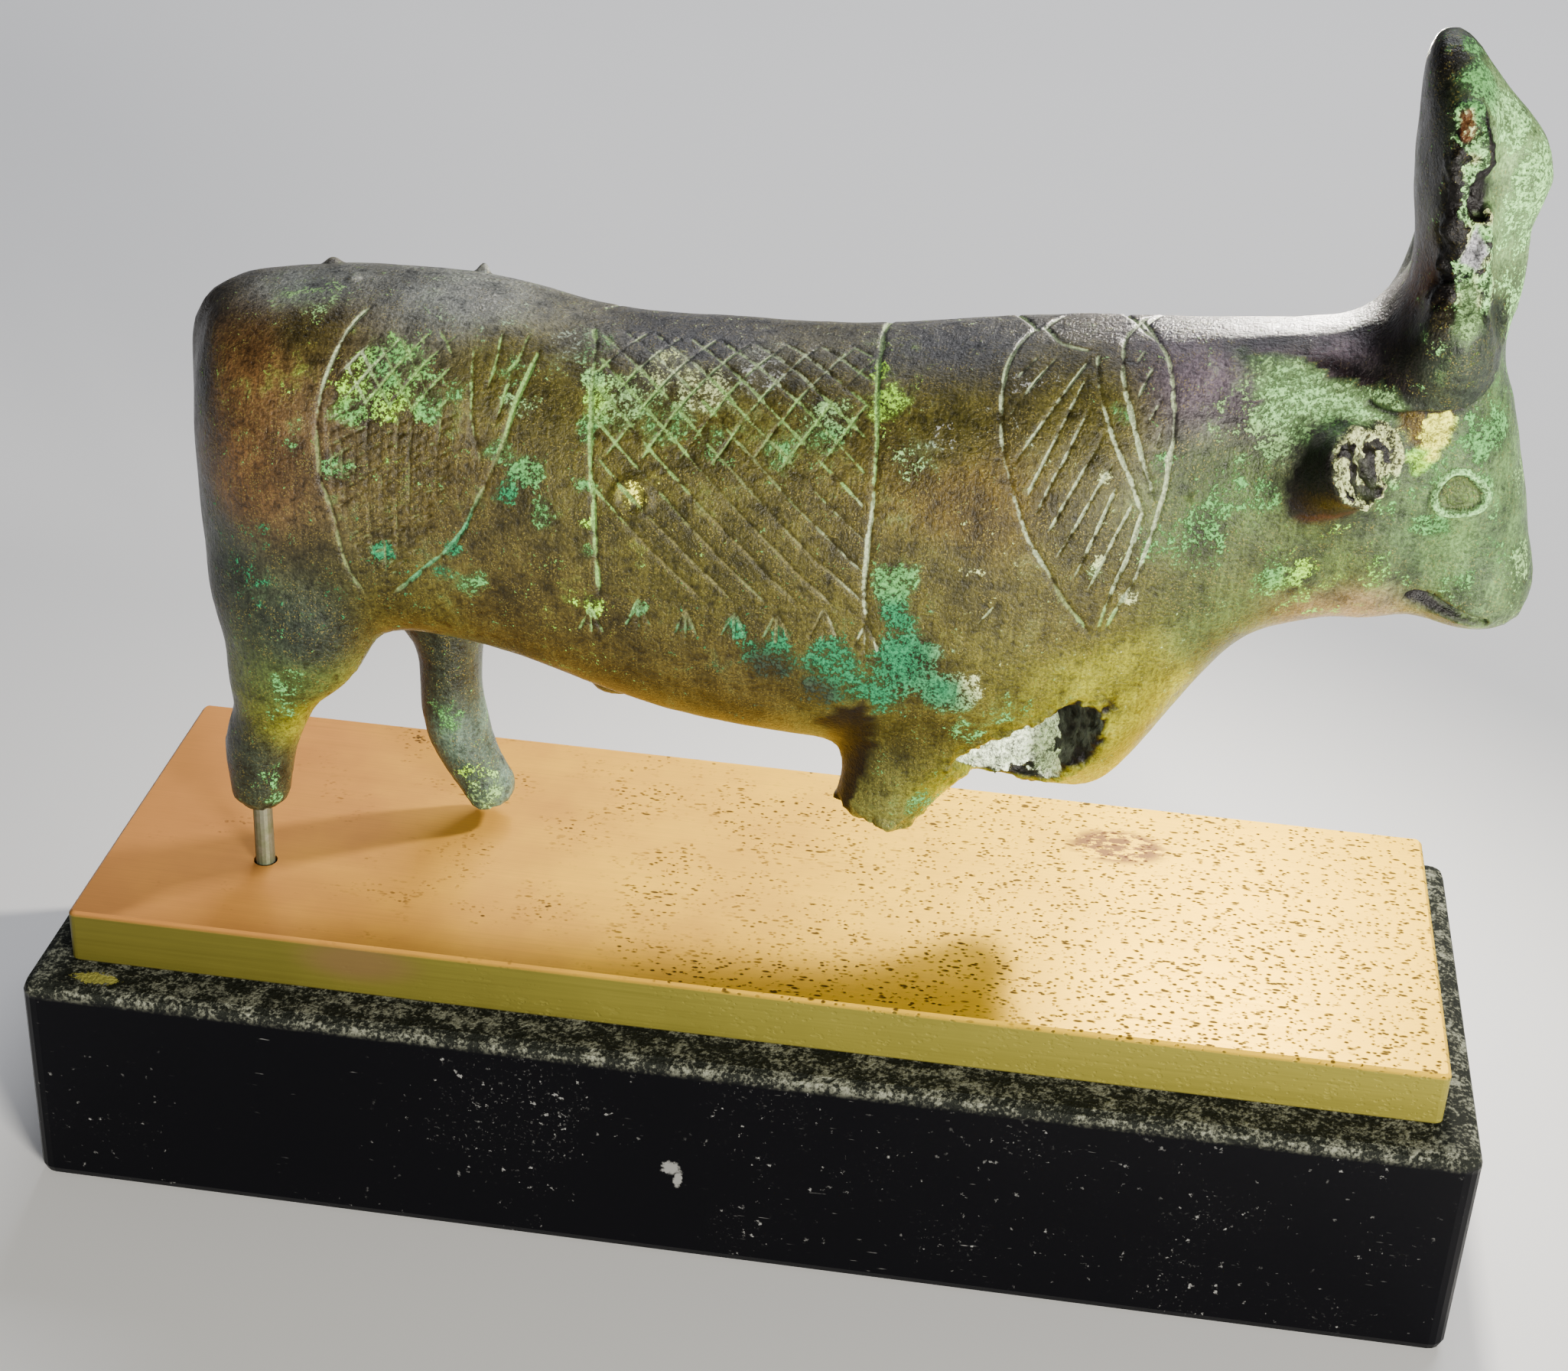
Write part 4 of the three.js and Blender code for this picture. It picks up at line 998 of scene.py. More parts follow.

# The bronze itself: the places (x, y, z) of each colour, blended between. The black brown and dark green
# stations at the rump's rear, the crown's rear face, the hind legs' rears, under the thighs and by the boss
# are painted shade.
TONES = {
    "olive": [(-5, -12.2, 36), (12, -12.3, 36), (-12, -11.5, 42), (22, -11, 34), (-27, -10.5, 26),
        (-20, -8.5, 46.2), (-4, -8.8, 45.0), (12, -8.6, 45.2), (22, -7.8, 47.6), (10, -9.2, 20),
        (11, -9.4, 24), (0, 12, 36), (20, 11, 34)],
    "brown": [(-25, -11, 40), (-13, -10.2, 24), (-3, -11, 23), (-36, -6.5, 48.0), (-20, -10, 28),
        (-25, 11, 40), (0, 8, 20), (2, 0, 16.5)],
    "green olive": [(32, -8.7, 43), (40, -7.5, 38), (33, -7, 31), (-37, -10, 19), (32, 8.7, 43)],
    "red brown": [(-40, -8, 46), (-41, -9, 38), (-40, 9, 44)],
    "dark green and painted shade": [(-43, -8, 30), (-36, -11, 24), (46.6, -7, 53), (-41.5, -8.4, 10), (-30, 4, 14),
        (-36, 11, 24)],
    "black brown and painted shade": [(-46, -3, 36), (-46, 3, 30), (-45.6, -6, 42), (-45.4, -6.5, 26), (42.6, -3, 60),
        (42.4, 2, 62), (42.2, -5, 66), (42.2, -2, 70), (42.8, -3, 74), (44.4, -6.4, 54), (-44.6, -6, 13)],
    "leg olive": [(9.0, -8.8, 18), (9.0, -8.4, 13)],
    # The rump grey and grey back along the spine are painted sheen; the purple along the crest is patina
    # brightened as painted sheen
    "rump grey painted sheen": [(-37, -2, 49.6), (-26, -1, 50)],
    "grey back and painted sheen": [(-8, -1, 48), (12, -1, 50)],
    "neck top": [(29, 1.5, 52), (34, 0.5, 52.6), (39, 0.5, 53.4), (33, -2.2, 52.2)],
    "purple": [(30, -4.8, 50.4), (35.5, -4.6, 51.2), (39.4, -4.4, 52.2)],
    "crest painted shade": [(42.5, -4, 55)],
    "rust": [(43.6, -3, 58.6)],
    "head green": [(48, -6.2, 40), (52, -5.5, 39), (54, -3, 44), (50, -4, 50), (48, 6.2, 40),
        (49.5, 4, 62)],
    "pale green": [(49.5, -2, 62), (51, -1, 66), (48.6, -2, 70)],
    "jaw pink": [(42, -5.5, 31.5), (42, 5, 31.5)],
    "yellow olive": [(30, -6.5, 24), (28, -4, 19), (26, -8.5, 27), (14.6, -7.5, 15), (-36.5, -7, 16),
        (28, 6, 22)],
    "hoof grey": [(-27, 3.5, 6)],
    "ochre": [(13.6, -11.6, 41.5)],
}

# What fills the engraved lines: the places of each colour
LINE_TONES = {
    "line lime": [(-11, -8, 45.6), (-5, -8.6, 45), (2, -8.6, 45), (-9, -10, 42.2), (4.6, -10, 43),
        (-14.2, -8.5, 44.5), (-13.6, -11.4, 38), (-13.2, -12, 31), (6.4, -7.5, 46.4), (25.2, -10.4, 31),
        (-28, -9, 45), (-19.2, -8.6, 45.4)],
    "line olive": [(-2, -10.6, 41.5), (20.4, -11.6, 34), (-34, -10.8, 39), (-33, -11.6, 33), (-28, -11, 39),
        (-27, -11.6, 34), (-20.4, -11, 39.5), (-28.6, -11.8, 27.5), (0, 12, 38), (-28, 11, 38),
        (24, 11, 38)],
    "line pale": [(-9, -4.5, 48), (1, -4.5, 48.4), (7.0, -12.3, 38), (7.3, -12.6, 32), (16.4, -9, 45),
        (17, -11.6, 38), (20.5, -10.6, 40), (22.6, -9.8, 43), (26.6, -9.8, 41), (27.6, -10, 36),
        (-32.6, -7.4, 46.6)],
    "line dull": [(-9, -12, 35.5), (-3, -12.4, 37), (3, -12.5, 35), (-5, -12.2, 31.5), (3, -12.5, 30)],
    "line teal": [(-8, -12, 27.6), (-2, -12, 27.6), (-23, -11.6, 34), (-25.4, -11.8, 30.5)],
}

# The corrosion of each colour: place, reach and how thickly it covers, from 0 to 1
CORROSION = {
    "malachite": [(-29.4, -8.8, 45.8, 3.9, 0.52), (-31.4, -9.8, 43.6, 1.9, 0.6),
        (-26.2, -9.6, 43.6, 2.0, 0.56), (-35.6, -11.3, 40.4, 1.6, 0.5), (-32.6, -11.6, 39.4, 1.6, 0.5),
        (-18.2, -11.2, 40.4, 1.8, 0.66), (-17.1, -11.6, 37.2, 1.5, 0.62), (-22.6, -11.2, 30.6, 1.5, 0.55),
        (-14.0, -9.6, 43.4, 1.2, 0.6), (-13.7, -11.2, 39.6, 0.9, 0.62), (-13.3, -11.9, 34.6, 0.8, 0.62),
        (-8.5, -8.8, 44.2, 2.6, 0.44), (-5.0, -9.4, 43.2, 2.2, 0.42), (-20.2, -10.6, 41.4, 1.3, 0.5),
        (3.4, -9.0, 44.4, 2.4, 0.5), (0.0, -9.8, 43.0, 2.0, 0.4), (9.3, -12.7, 35.2, 1.9, 0.66),
        (31.0, -9.2, 39.8, 3.2, 0.56), (27.6, -9.8, 39.0, 2.2, 0.42), (33.8, -8.2, 43.4, 3.2, 0.4),
        (37.0, -8.4, 37.0, 2.6, 0.38), (47.0, -6.6, 41.3, 1.9, 0.62), (52.0, -5.6, 38.6, 3.0, 0.38),
        (49.8, -5.6, 49.0, 3.2, 0.40), (46.6, -3.4, 73.0, 2.6, 0.85), (45.4, -1.5, 75.0, 1.6, 0.7),
        (19.2, -11.0, 25.4, 2.6, 0.42), (15.4, -10.2, 22.6, 2.2, 0.46), (12.4, -8.6, 14.0, 1.8, 0.56),
        (-37.0, -10.4, 19.8, 2.6, 0.44), (-38.4, -9.4, 16.6, 2.0, 0.42), (-40.0, -8.2, 9.0, 1.8, 0.40),
        (-39.6, -7.9, 6.4, 1.6, 0.52), (-28.4, 3.0, 9.6, 2.4, 0.44), (-24.0, -9.4, 45.4, 2.0, 0.36),
        (-20.0, -8.2, 46.6, 2.0, 0.36), (-15.0, -4.6, 47.6, 2.4, 0.36), (-9.4, -12.0, 30.4, 0.9, 0.5),
        (26.4, -8.8, 32.0, 1.4, 0.42), (27.6, -9.4, 45.4, 1.3, 0.44), (24.2, -8.0, 48.0, 1.3, 0.42),
        (-28, 9.6, 44, 5.0, 0.5), (10, 12.4, 29, 5.0, 0.55), (50, 5.5, 38, 4.0, 0.42),
        (-10, 10.5, 42, 5.0, 0.4), (48, 6, 66, 5.0, 0.5), (28, 9.6, 36, 4.0, 0.4), (20, 8, 20, 4.0, 0.4)],
    "lime": [(-31.9, -9.4, 45.0, 1.5, 0.56), (-28.4, -10.2, 43.4, 0.9, 0.54),
        (-34.8, -9.2, 46.7, 0.9, 0.75), (-13.1, -12.0, 30.0, 1.4, 0.66), (-14.0, -8.0, 45.4, 0.9, 0.6),
        (-13.4, -11.6, 36.8, 0.6, 0.6), (7.4, -7.6, 46.3, 1.7, 0.66), (6.6, -5.0, 48.0, 1.1, 0.6),
        (38.8, -8.0, 37.2, 1.2, 0.8), (-26.9, 3.2, 5.0, 0.9, 0.7)],
    "teal": [(-29.0, -11.7, 32.6, 1.5, 0.75), (-19.6, -11.4, 38.4, 1.3, 0.6),
        (-23.6, -11.7, 33.4, 0.9, 0.6), (-24.8, -11.8, 31.4, 1.0, 0.62), (9.6, -12.8, 32.4, 2.0, 0.70),
        (10.3, -12.5, 28.6, 3.4, 0.80), (5.2, -12.3, 27.6, 3.2, 0.62), (13.8, -12.1, 26.5, 2.8, 0.76),
        (8.1, -12.1, 25.4, 3.0, 0.64), (-38.6, -10.6, 33.0, 2.4, 0.34), (-40.0, -10.4, 28.6, 2.6, 0.34),
        (-33.0, -11.4, 28.6, 2.2, 0.34), (-2.2, -12.2, 29.6, 1.2, 0.6), (1.0, -12.3, 29.8, 1.1, 0.6),
        (-6.0, -12.1, 29.6, 0.9, 0.45), (-36, 10.8, 30, 3.0, 0.5)],
    "bright green": [(-14.2, -7.4, 46.4, 1.3, 0.8), (50.0, -2.0, 57.0, 4.0, 0.56),
        (50.4, -1.6, 63.5, 3.6, 0.62), (50.6, -2.2, 66.6, 3.2, 0.66), (48.4, -2.4, 70.5, 2.6, 0.7)],
    "yellow": [(-10.4, -11.5, 39.2, 1.7, 0.38)],
    "pale green": [(-12.0, -8.0, 45.2, 2.8, 0.56), (3.4, -8.4, 45.8, 2.6, 0.54),
        (-19.2, -9.4, 44.4, 1.5, 0.46), (23.4, -10.6, 36.6, 1.3, 0.5), (10.4, -10.4, 43.8, 2.4, 0.44),
        (31.5, -7.0, 48.2, 3.0, 0.40), (35.6, -6.8, 47.8, 2.6, 0.48), (54.6, -3.6, 36.4, 3.2, 0.42),
        (54.0, -1.0, 44.0, 4.0, 0.4), (-25.4, 3.6, 3.0, 2.4, 0.46), (-36.0, -3.5, 49.4, 4.2, 0.40),
        (38, 7.4, 47, 4.0, 0.42)],
    "cream": [(-6.0, -7.4, 46.4, 2.8, 0.50), (-9.0, -5.2, 47.2, 3.6, 0.42), (14.7, -12.0, 36.3, 0.7, 0.9),
        (23.7, -10.4, 44.0, 0.8, 0.7), (23.9, -11.0, 37.9, 0.7, 0.8), (26.3, -10.4, 34.7, 0.8, 0.7),
        (16.0, -12.1, 27.4, 0.5, 0.8), (26.3, -9.4, 29.8, 0.6, 0.7)],
    "dust": [(-2.0, -5.2, 47.4, 3.2, 0.44), (-16.0, -4.6, 48.0, 3.6, 0.44), (11.8, -9.4, 46.0, 1.8, 0.36),
        (-24.0, -2.0, 49.8, 5.0, 0.34), (17.2, -6.4, 49.0, 1.6, 0.36)],
    "dark green and painted shade": [(0.3, -12.1, 26.8, 2.8, 0.6), (4.0, -11.6, 25.0, 2.2, 0.6)],
}
EVERYWHERE = 0.14
BARE = -0.45


def blended_colour(points, table, nearest):
    """A colour at each point: a table's colours, each place weighted by 1 / (distance^2 + nearest^2)^2."""
    total = np.zeros((len(points), 3))
    weights = np.zeros(len(points))
    for name, places in table.items():
        for place in places:
            weight = 1 / (((points - np.array(place[:3])) ** 2).sum(1) + nearest ** 2) ** 2
            total += weight[:, None] * np.array(PALETTE[name])
            weights += weight
    return total / weights[:, None]


# Where the dark crest of the neck ends: the way down from the spine at each x
CREST_EDGE = through([(29, -1.0), (31, 1.8), (33.2, 3.4), (36.6, 4.8), (39.3, 5.9), (41.5, 7.6), (44, 9.8)])
# Where the crown's break turns from painted shade to green: x at each height
BREAK_EDGE = through([(57, 46.3), (60, 45.9), (63.3, 46.1), (64.4, 45.4), (66, 45.2), (68.6, 44.9),
                      (69.6, 44.1), (70.7, 44.5), (72.8, 44.5), (76, 44.2)])
# Small patches: the colour of the crust, its cover, the metal's colour, the edge's softness, waver and seed,
# and the outline
CROWN_PATCHES = [
    ("cream", 0.42, "rust", 0.1, 0.2, 64, [(44.4, 70.6), (45.1, 71.2), (45.7, 70.1), (44.9, 69.1)]),
    ("lilac grey", 0.95, "grey back and painted sheen", 0.1, 0.2, 65,
     [(46.2, 62.2), (46.8, 63.4), (47.9, 61.7), (47.3, 60.3), (46.0, 60.9)]),
    ("pale green", 0.7, "pale green", 0.2, 0.2, 66,
     [(46.2, 59.4), (47.4, 59.4), (48.0, 57.1), (47.2, 55.9), (46.4, 56.6)]),
    # The black patch over the crown's cavity is painted shade
    ("black brown and painted shade", BARE, "black brown and painted shade", 0.1, 0.15, 67,
     [(46.2, 66.9), (46.9, 67.4), (47.4, 65.8), (47.0, 64.0), (46.1, 64.2), (45.8, 65.6)]),
]
EAR_CHIPS = [
    ("yellow", 1.3, "ochre", 0.12, 0.3, 69,
     [(45.4, 50.0), (47.0, 50.1), (47.5, 49.1), (47.1, 47.3), (46.4, 45.9), (45.7, 46.4), (45.6, 48.0)]),
    ("yellow", 0.16, "ochre", 0.12, 0.3, 70,
     [(43.9, 49.5), (45.3, 49.9), (45.9, 48.9), (45.5, 47.3), (44.5, 47.6)]),
    ("lime", 1.3, "lime", 0.12, 0.2, 71, [(44.8, 46.8), (46.3, 47.1), (46.4, 45.6), (45.2, 45.3)]),
]


def skin_colours(points):
    """The bronze's colour, the crust's colour, the engraving's colour and how thickly the crust covers."""
    x, y, z = points.T
    side = both_sides(points)
    tone = blended_colour(points, TONES, 1.2)
    fill = blended_colour(points, CORROSION, 0.8)
    engraved = blended_colour(points, LINE_TONES, 0.8)
    cover = np.full(len(points), EVERYWHERE)
    for *place, reach, amount in sum(CORROSION.values(), []):
        way = near(points, place) + 0.35 * reach * rough(points, 1.1 * reach, 2, 41)
        cover = np.maximum(cover, amount * smooth(1.15 * reach, 0.45 * reach, way))

    def lay(share, name, amount, bare=None):
        """Covers a share of the skin with crust of a colour by an amount, over metal of another."""
        paint(fill, share, PALETTE[name])
        cover[:] += share * (amount - cover)
        if bare:
            paint(tone, share, PALETTE[bare])

    def paint_shade_black(share):
        """Bare black metal, as painted shade."""
        lay(share, "black brown and painted shade", BARE, "black brown and painted shade")

    def patch(patches):
        """Lays each patch of a table inside its outline."""
        for name, amount, bare, soft, waver, seed, outline in patches:
            lay(within(points, outline, soft, waver, seed), name, amount, bare)

    # Behind, the rump is bare of crust and dark: painted shade
    paint(cover, smooth(-44.4, -45.6, x), BARE)
    # The head is mottled: crust and dark patina in turn
    head = smooth(30, 38, x) * smooth(60, 54, z) * smooth(30, 33, z + 0.3 * (x - 40))
    cover += head * (0.10 + 0.36 * rough(points, 2.0, 3, 48))
    paint(tone, 0.55 * head * smooth(0.0, 0.5, rough(points, 2.6, 3, 49)), PALETTE["dark green and painted shade"])
    # The neck's dark crest, with a band of painted shade along its lower edge, and the pale fold under it
    past = CREST_EDGE(x) - np.abs(unroll(points)[0]) + 0.35 * rough(points, 1.6, 2, 42)
    on_neck = smooth(29.5, 31.5, x) * smooth(44.6, 43.6, x) * (z > 46) * smooth(57.5, 55.5, z)
    fold = on_neck * smooth(0.1, -0.2, past) * smooth(-3.4, -0.8, past) * smooth(31, 34, x)
    lay(0.9 * fold, "pale green", 0.56, "head green")
    lay(within(points, PALE_FOLD, 0.3, 0.5, 62), "bright green", 0.62, "pale green")
    paint(cover, on_neck * smooth(-0.1, 0.1, past), 0.05)
    paint(tone, on_neck * smooth(-0.1, 0.15, past) * smooth(2.2, 0.8, past) * smooth(34, 38, x),
          PALETTE["crest painted shade"])
    # The boss: dark olive, over a crease painted black as shade
    boss, above = boss_step(points)
    lay(boss * smooth(44.8, 45.8, x - 0.12 * (z - 50)) * smooth(58.5, 57, z), "green olive", 0.24,
        "dark green and painted shade")
    paint_shade_black(np.exp(-((above + 0.28) / 0.26) ** 2))
    # The crotch of the near foreleg and its rear side are painted black as shade
    paint_shade_black(within(points, CROTCH, 0.15, 0.35, 63) * (y < -3))
    # The hole: fibrous white green, made paler as painted light, and black at its front as painted shade
    hole = hole_share(points)
    black = smooth(-0.2, 0.2, x - 22.4 - 0.1 * (20 - z) + 0.6 * rough(points, 1.2, 2, 43))
    rim = smooth(15.7, 15.2, z + 0.1 * (x - 18) + 0.3 * rough(points, 0.8, 2, 50))
    lay(hole, "white green and painted light", 0.95, "black brown and painted shade")
    paint(cover, hole * np.maximum(black, 0.9 * rim), BARE)
    # The crown's break: dark as painted shade, with green and cream crumbs towards the front
    broken = crown_break_share(points)
    crumbs = smooth(-0.12, 0.2, x - BREAK_EDGE(z) + 0.45 * rough(points, 0.9, 2, 44))
    pits = smooth(0.15, 0.4, rough(points, 1.0, 2, 45))
    lay(broken, "bright green", 0.66, "black brown and painted shade")
    paint(fill, broken * smooth(-0.1, 0.3, rough(points, 1.4, 1, 46)), PALETTE["cream"])
    paint(cover, broken * np.maximum(1 - crumbs, pits), 0.05)
    lay(broken * smooth(69.5, 71.5, z + 0.6 * (x - 45)), "malachite", 0.62)
    lay(0.9 * broken * np.exp(-((x - 46.2 + 0.24 * (z - 72)) / 0.22) ** 2) * (z > 67), "black brown and painted shade", BARE)
    patch(CROWN_PATCHES)
    # The ears' ends: cream fibres round dark pits; by the near ear a painted shadow and shade, black and
    # dark rust
    ear = ear_share(points)
    along, away = ear_face(points)
    outside = smooth(-0.4, -0.9, along) + smooth(3.2, 3.6, away)
    hollow = within(points, EAR_SHADE_OUTLINE, 0.15, 0.25, 68) * np.clip(outside, 0, 1)
    paint_shade_black(hollow)
    paint(tone, hollow * (away > 3.1) * smooth(4.1, 3.3, near(points, (40.2, -7.6, 44.2))),
          PALETTE["rust and painted shade"])
    lay(ear, "cream", 0.66, "black brown and painted shade")
    behind = side[:, 0] - EAR_END[0] - along * EAR_AXIS[0]
    pitted = rough(points * [1, 1, 0.55], 0.9, 2, 47) + 0.10 + 0.08 * behind
    paint(cover, ear * smooth(2.75, 2.45, away) * smooth(0.0, 0.22, pitted), BARE)
    # Chips of yellow, rust and lime by the ear
    patch(EAR_CHIPS)
    # The eye's pale ring round a dark field, with a dark line inside the ring as painted shade, and the slit
    # of the mouth painted black as shade
    across, on_face = eye_place(side)
    lay(on_face * smooth(0.34, 0.18, np.abs(across - 1.66)), "bright green", 0.85, "pale green")
    field = on_face * smooth(1.45, 1.35, across)
    paint(tone, field, PALETTE["green olive"])
    paint(cover, field, 0.22)
    paint(tone, 0.8 * on_face * np.exp(-((across - 1.30) / 0.10) ** 2), PALETTE["dark green and painted shade"])
    slit = distance_to_path(side, np.array(LIPS))
    paint_shade_black(smooth(0.15, -0.05, slit - 0.75 + 0.45 * smooth(47.5, 52.5, x)))
    return tone, fill, engraved, cover


def paint(values, share, value):
    """Mixes one value into numbers, or one colour into rows of colours, by each one's share."""
    values += (share[:, None] if values.ndim > 1 else share) * (np.array(value) - values)


# Settings that a user would change


def colour_setting(name, description, default):
    """A colour that a user picks."""
    return FloatVectorProperty(name=name, description=description, subtype="COLOR", default=default)


def gloss_setting(name, description, default):
    """A share from 0 to 1."""
    return FloatProperty(name=name, description=description, default=default, min=0, max=1,
                         subtype="FACTOR")


def length_setting(name, description, default, low, high):
    """A length in metres between two limits."""
    return FloatProperty(name=name, description=description, default=default, min=low, max=high,
                         unit="LENGTH", precision=5)


def power_setting(name, description, default):
    """A light's power in watts."""
    return FloatProperty(name=name, description=description, default=default, min=0, max=50, unit="POWER")


class BullSettings(bpy.types.PropertyGroup):
    """Sizes and finish of the bronze."""

    grain: length_setting("Grain", "Cell size of the cast skin", 0.00078, 0.0004, 0.002)
    line_depth: length_setting("Line depth", "Depth of the engraved lines", 0.00024, 0, 0.001)
    line_half: length_setting("Line half width", "Half the width of the engraved lines", 0.0002, 0.0001,
                              0.0006)
    golden_speck_glint: colour_setting("Golden speck", "Colour of the metal that shines through", (0.34, 0.27, 0.06))
    patina_roughness: gloss_setting("Patina roughness", "Gloss of the worn patina", 0.34)
    crust_roughness: gloss_setting("Crust roughness", "Gloss of the green crust", 0.86)


class PlateSettings(bpy.types.PropertyGroup):
    """Finish of the brass plate."""

    copper_and_painted_shade: colour_setting("Rear colour", "Brass by the rump", (0.56, 0.24, 0.06))
    brass: colour_setting("Front colour", "Brass by the head", (0.92, 0.56, 0.012))
    side: colour_setting("Side colour", "Dull brass of the sides", (0.150, 0.132, 0.020))
    pit: colour_setting("Pit colour", "Tarnish in the pits", (0.035, 0.018, 0.007))
    roughness: gloss_setting("Roughness", "Gloss of the brushed top", 0.46)


class BlockSettings(bpy.types.PropertyGroup):
    """Finish of the black block."""

    lacquer: colour_setting("Lacquer", "Colour of the lacquer", (0.0012, 0.0012, 0.0020))
    dust: colour_setting("Dust", "Colour of dust and scratches", (0.22, 0.22, 0.21))
    roughness: gloss_setting("Roughness", "Gloss of the lacquer", 0.34)


class PinSettings(bpy.types.PropertyGroup):
    """Finish of the mounting pin."""

    steel: colour_setting("Steel", "Colour of the pin", (0.22, 0.24, 0.18))


class StudioSettings(bpy.types.PropertyGroup):
    """Floor, lights and camera."""

    floor: colour_setting("Floor", "Colour of the floor", (0.86, 0.86, 0.85))
    surround: FloatProperty(name="Surround", description="Strength of the even light from all round",
                            default=0.12, min=0, max=2)
    back_power: power_setting("Back light", "Power of the light behind the bull", 4.6)
    lamp_power: power_setting("Lamp", "Power of the small lamp close behind the head", 0.25)
    key_power: power_setting("Key light", "Power of the low light before the head", 12.5)
    lens: FloatProperty(name="Lens", description="Focal length of the camera, in millimetres", default=61.37,
                        min=10, max=300)


class BronzeBullSettings(bpy.types.PropertyGroup):
    """All settings of the bronze bull and its mount."""

    bull: PointerProperty(type=BullSettings)
    plate: PointerProperty(type=PlateSettings)
    block: PointerProperty(type=BlockSettings)
    pin: PointerProperty(type=PinSettings)
    studio: PointerProperty(type=StudioSettings)


# Materials


class Finish:
    """A material, and short ways to add nodes; a socket given as a value is linked, the rest is set."""

    def __init__(self, name):
        self.material = bpy.data.materials.new(name)
        self.material.use_nodes = True
        self.tree = self.material.node_tree
        self.tree.nodes.clear()
        self.place = self.add("ShaderNodeTexCoord").outputs["Object"]

    def add(self, kind, sockets=None, **choices):
        node = self.tree.nodes.new(kind)
        for key, value in choices.items():
            setattr(node, key, value)
        for key, value in (sockets or {}).items():
            self.feed(node.inputs[key], value)
        return node

    def feed(self, socket, value):
        if isinstance(value, bpy.types.NodeSocket):
            self.tree.links.new(value, socket)
        elif socket.type == "RGBA" and len(value) == 3:
            socket.default_value = (*value, 1)
        else:
            socket.default_value = value

    def math(self, operation, a, b=0.0, clamp=False):
        return self.add("ShaderNodeMath", {0: a, 1: b}, operation=operation, use_clamp=clamp).outputs[0]

    def times(self, a, b):
        """One number times another."""
        return self.math("MULTIPLY", a, b)

    def plus(self, a, b, clamp=False):
        """The sum of two numbers, kept from 0 to 1 if clamped."""
        return self.math("ADD", a, b, clamp)

    def most(self, a, b):
        """The larger of two numbers."""
        return self.math("MAXIMUM", a, b)

    def sway(self, value, amount):
        """A value from 0 to 1, laid round 0 and times an amount."""
        return self.times(self.math("SUBTRACT", value, 0.5), amount)

    def mask(self, value, low, high):
        """0 below low and 1 above high, with a smooth step between; high may lie below low."""
        turned = low > high
        edges = {"From Min": min(low, high), "From Max": max(low, high), "To Min": float(turned),
                 "To Max": float(not turned)}
        node = self.add("ShaderNodeMapRange", {"Value": value, **edges}, interpolation_type="SMOOTHSTEP")
        return node.outputs["Result"]

    def span(self, value, low, high):
        """A value from 0 to 1 spread evenly from low to high."""
        return self.add("ShaderNodeMapRange",
                        {"Value": value, "To Min": low, "To Max": high}).outputs["Result"]

    def mix(self, share, a, b):
        """From the first colour to the second as the share rises from 0 to 1."""
        node = self.add("ShaderNodeMix", data_type="RGBA")
        for index, value in ((0, share), (6, a), (7, b)):
            self.feed(node.inputs[index], value)
        return node.outputs[2]

    def shade(self, colour, share):
        """A colour times a number."""
        return self.add("ShaderNodeVectorMath", {0: colour, "Scale": share}, operation="SCALE").outputs[0]

    def stretched(self, along, across, up):
        """Object places with one unit for each of these lengths, in millimetres."""
        scale = tuple(1 / (MM * length) for length in (along, across, up))
        return self.add("ShaderNodeMapping", {"Vector": self.place, "Scale": scale}).outputs[0]

    def noise(self, size, detail=4.0, roughness=0.55, place=None):
        """Noise with lumps of about the size, in millimetres, or of one unit of the given place."""
        scale = 1.0 if place else 1 / (MM * size)
        sockets = {"Vector": place or self.place, "Scale": scale, "Detail": detail, "Roughness": roughness}
        return self.add("ShaderNodeTexNoise", sockets).outputs["Fac"]

    def cells(self, *lengths):
        """How far each place is from the middle of its cell, for cells stretched to these lengths."""
        sockets = {"Vector": self.stretched(*lengths), "Scale": 1.0}
        return self.add("ShaderNodeTexVoronoi", sockets).outputs["Distance"]

    def streaks(self, detail, roughness, *lengths):
        """Noise stretched to these lengths, in millimetres."""
        return self.noise(1, detail, roughness, self.stretched(*lengths))

    def around(self, centre, reach):
        """How far each place is from a centre, in reaches; both in millimetres."""
        scale = tuple(1 / (MM * length) for length in reach)
        offset = tuple(-c / length for c, length in zip(centre, reach))
        node = self.add("ShaderNodeMapping", {"Vector": self.place, "Scale": scale, "Location": offset})
        return self.add("ShaderNodeVectorMath", {0: node.outputs[0]}, operation="LENGTH").outputs["Value"]

    def attribute(self, name, output="Color"):
        return self.add("ShaderNodeAttribute", attribute_name=name).outputs[output]

    def bump(self, height, distance, strength=1.0, normal=None):
        """The surface's direction where a height of 1 stands for a distance, in millimetres."""
        sockets = {"Height": height, "Distance": distance * MM, "Strength": strength}
        if normal:
            sockets["Normal"] = normal
        return self.add("ShaderNodeBump", sockets).outputs[0]

    def surface(self, **sockets):
        """The finished material, from the shader's sockets by name."""
        names = {key: key.replace("_", " ").title().replace("Ior", "IOR") for key in sockets}
        shader = self.add("ShaderNodeBsdfPrincipled", {names[key]: value for key, value in sockets.items()})
        output = self.add("ShaderNodeOutputMaterial")
        self.tree.links.new(shader.outputs[0], output.inputs["Surface"])
        return self.material


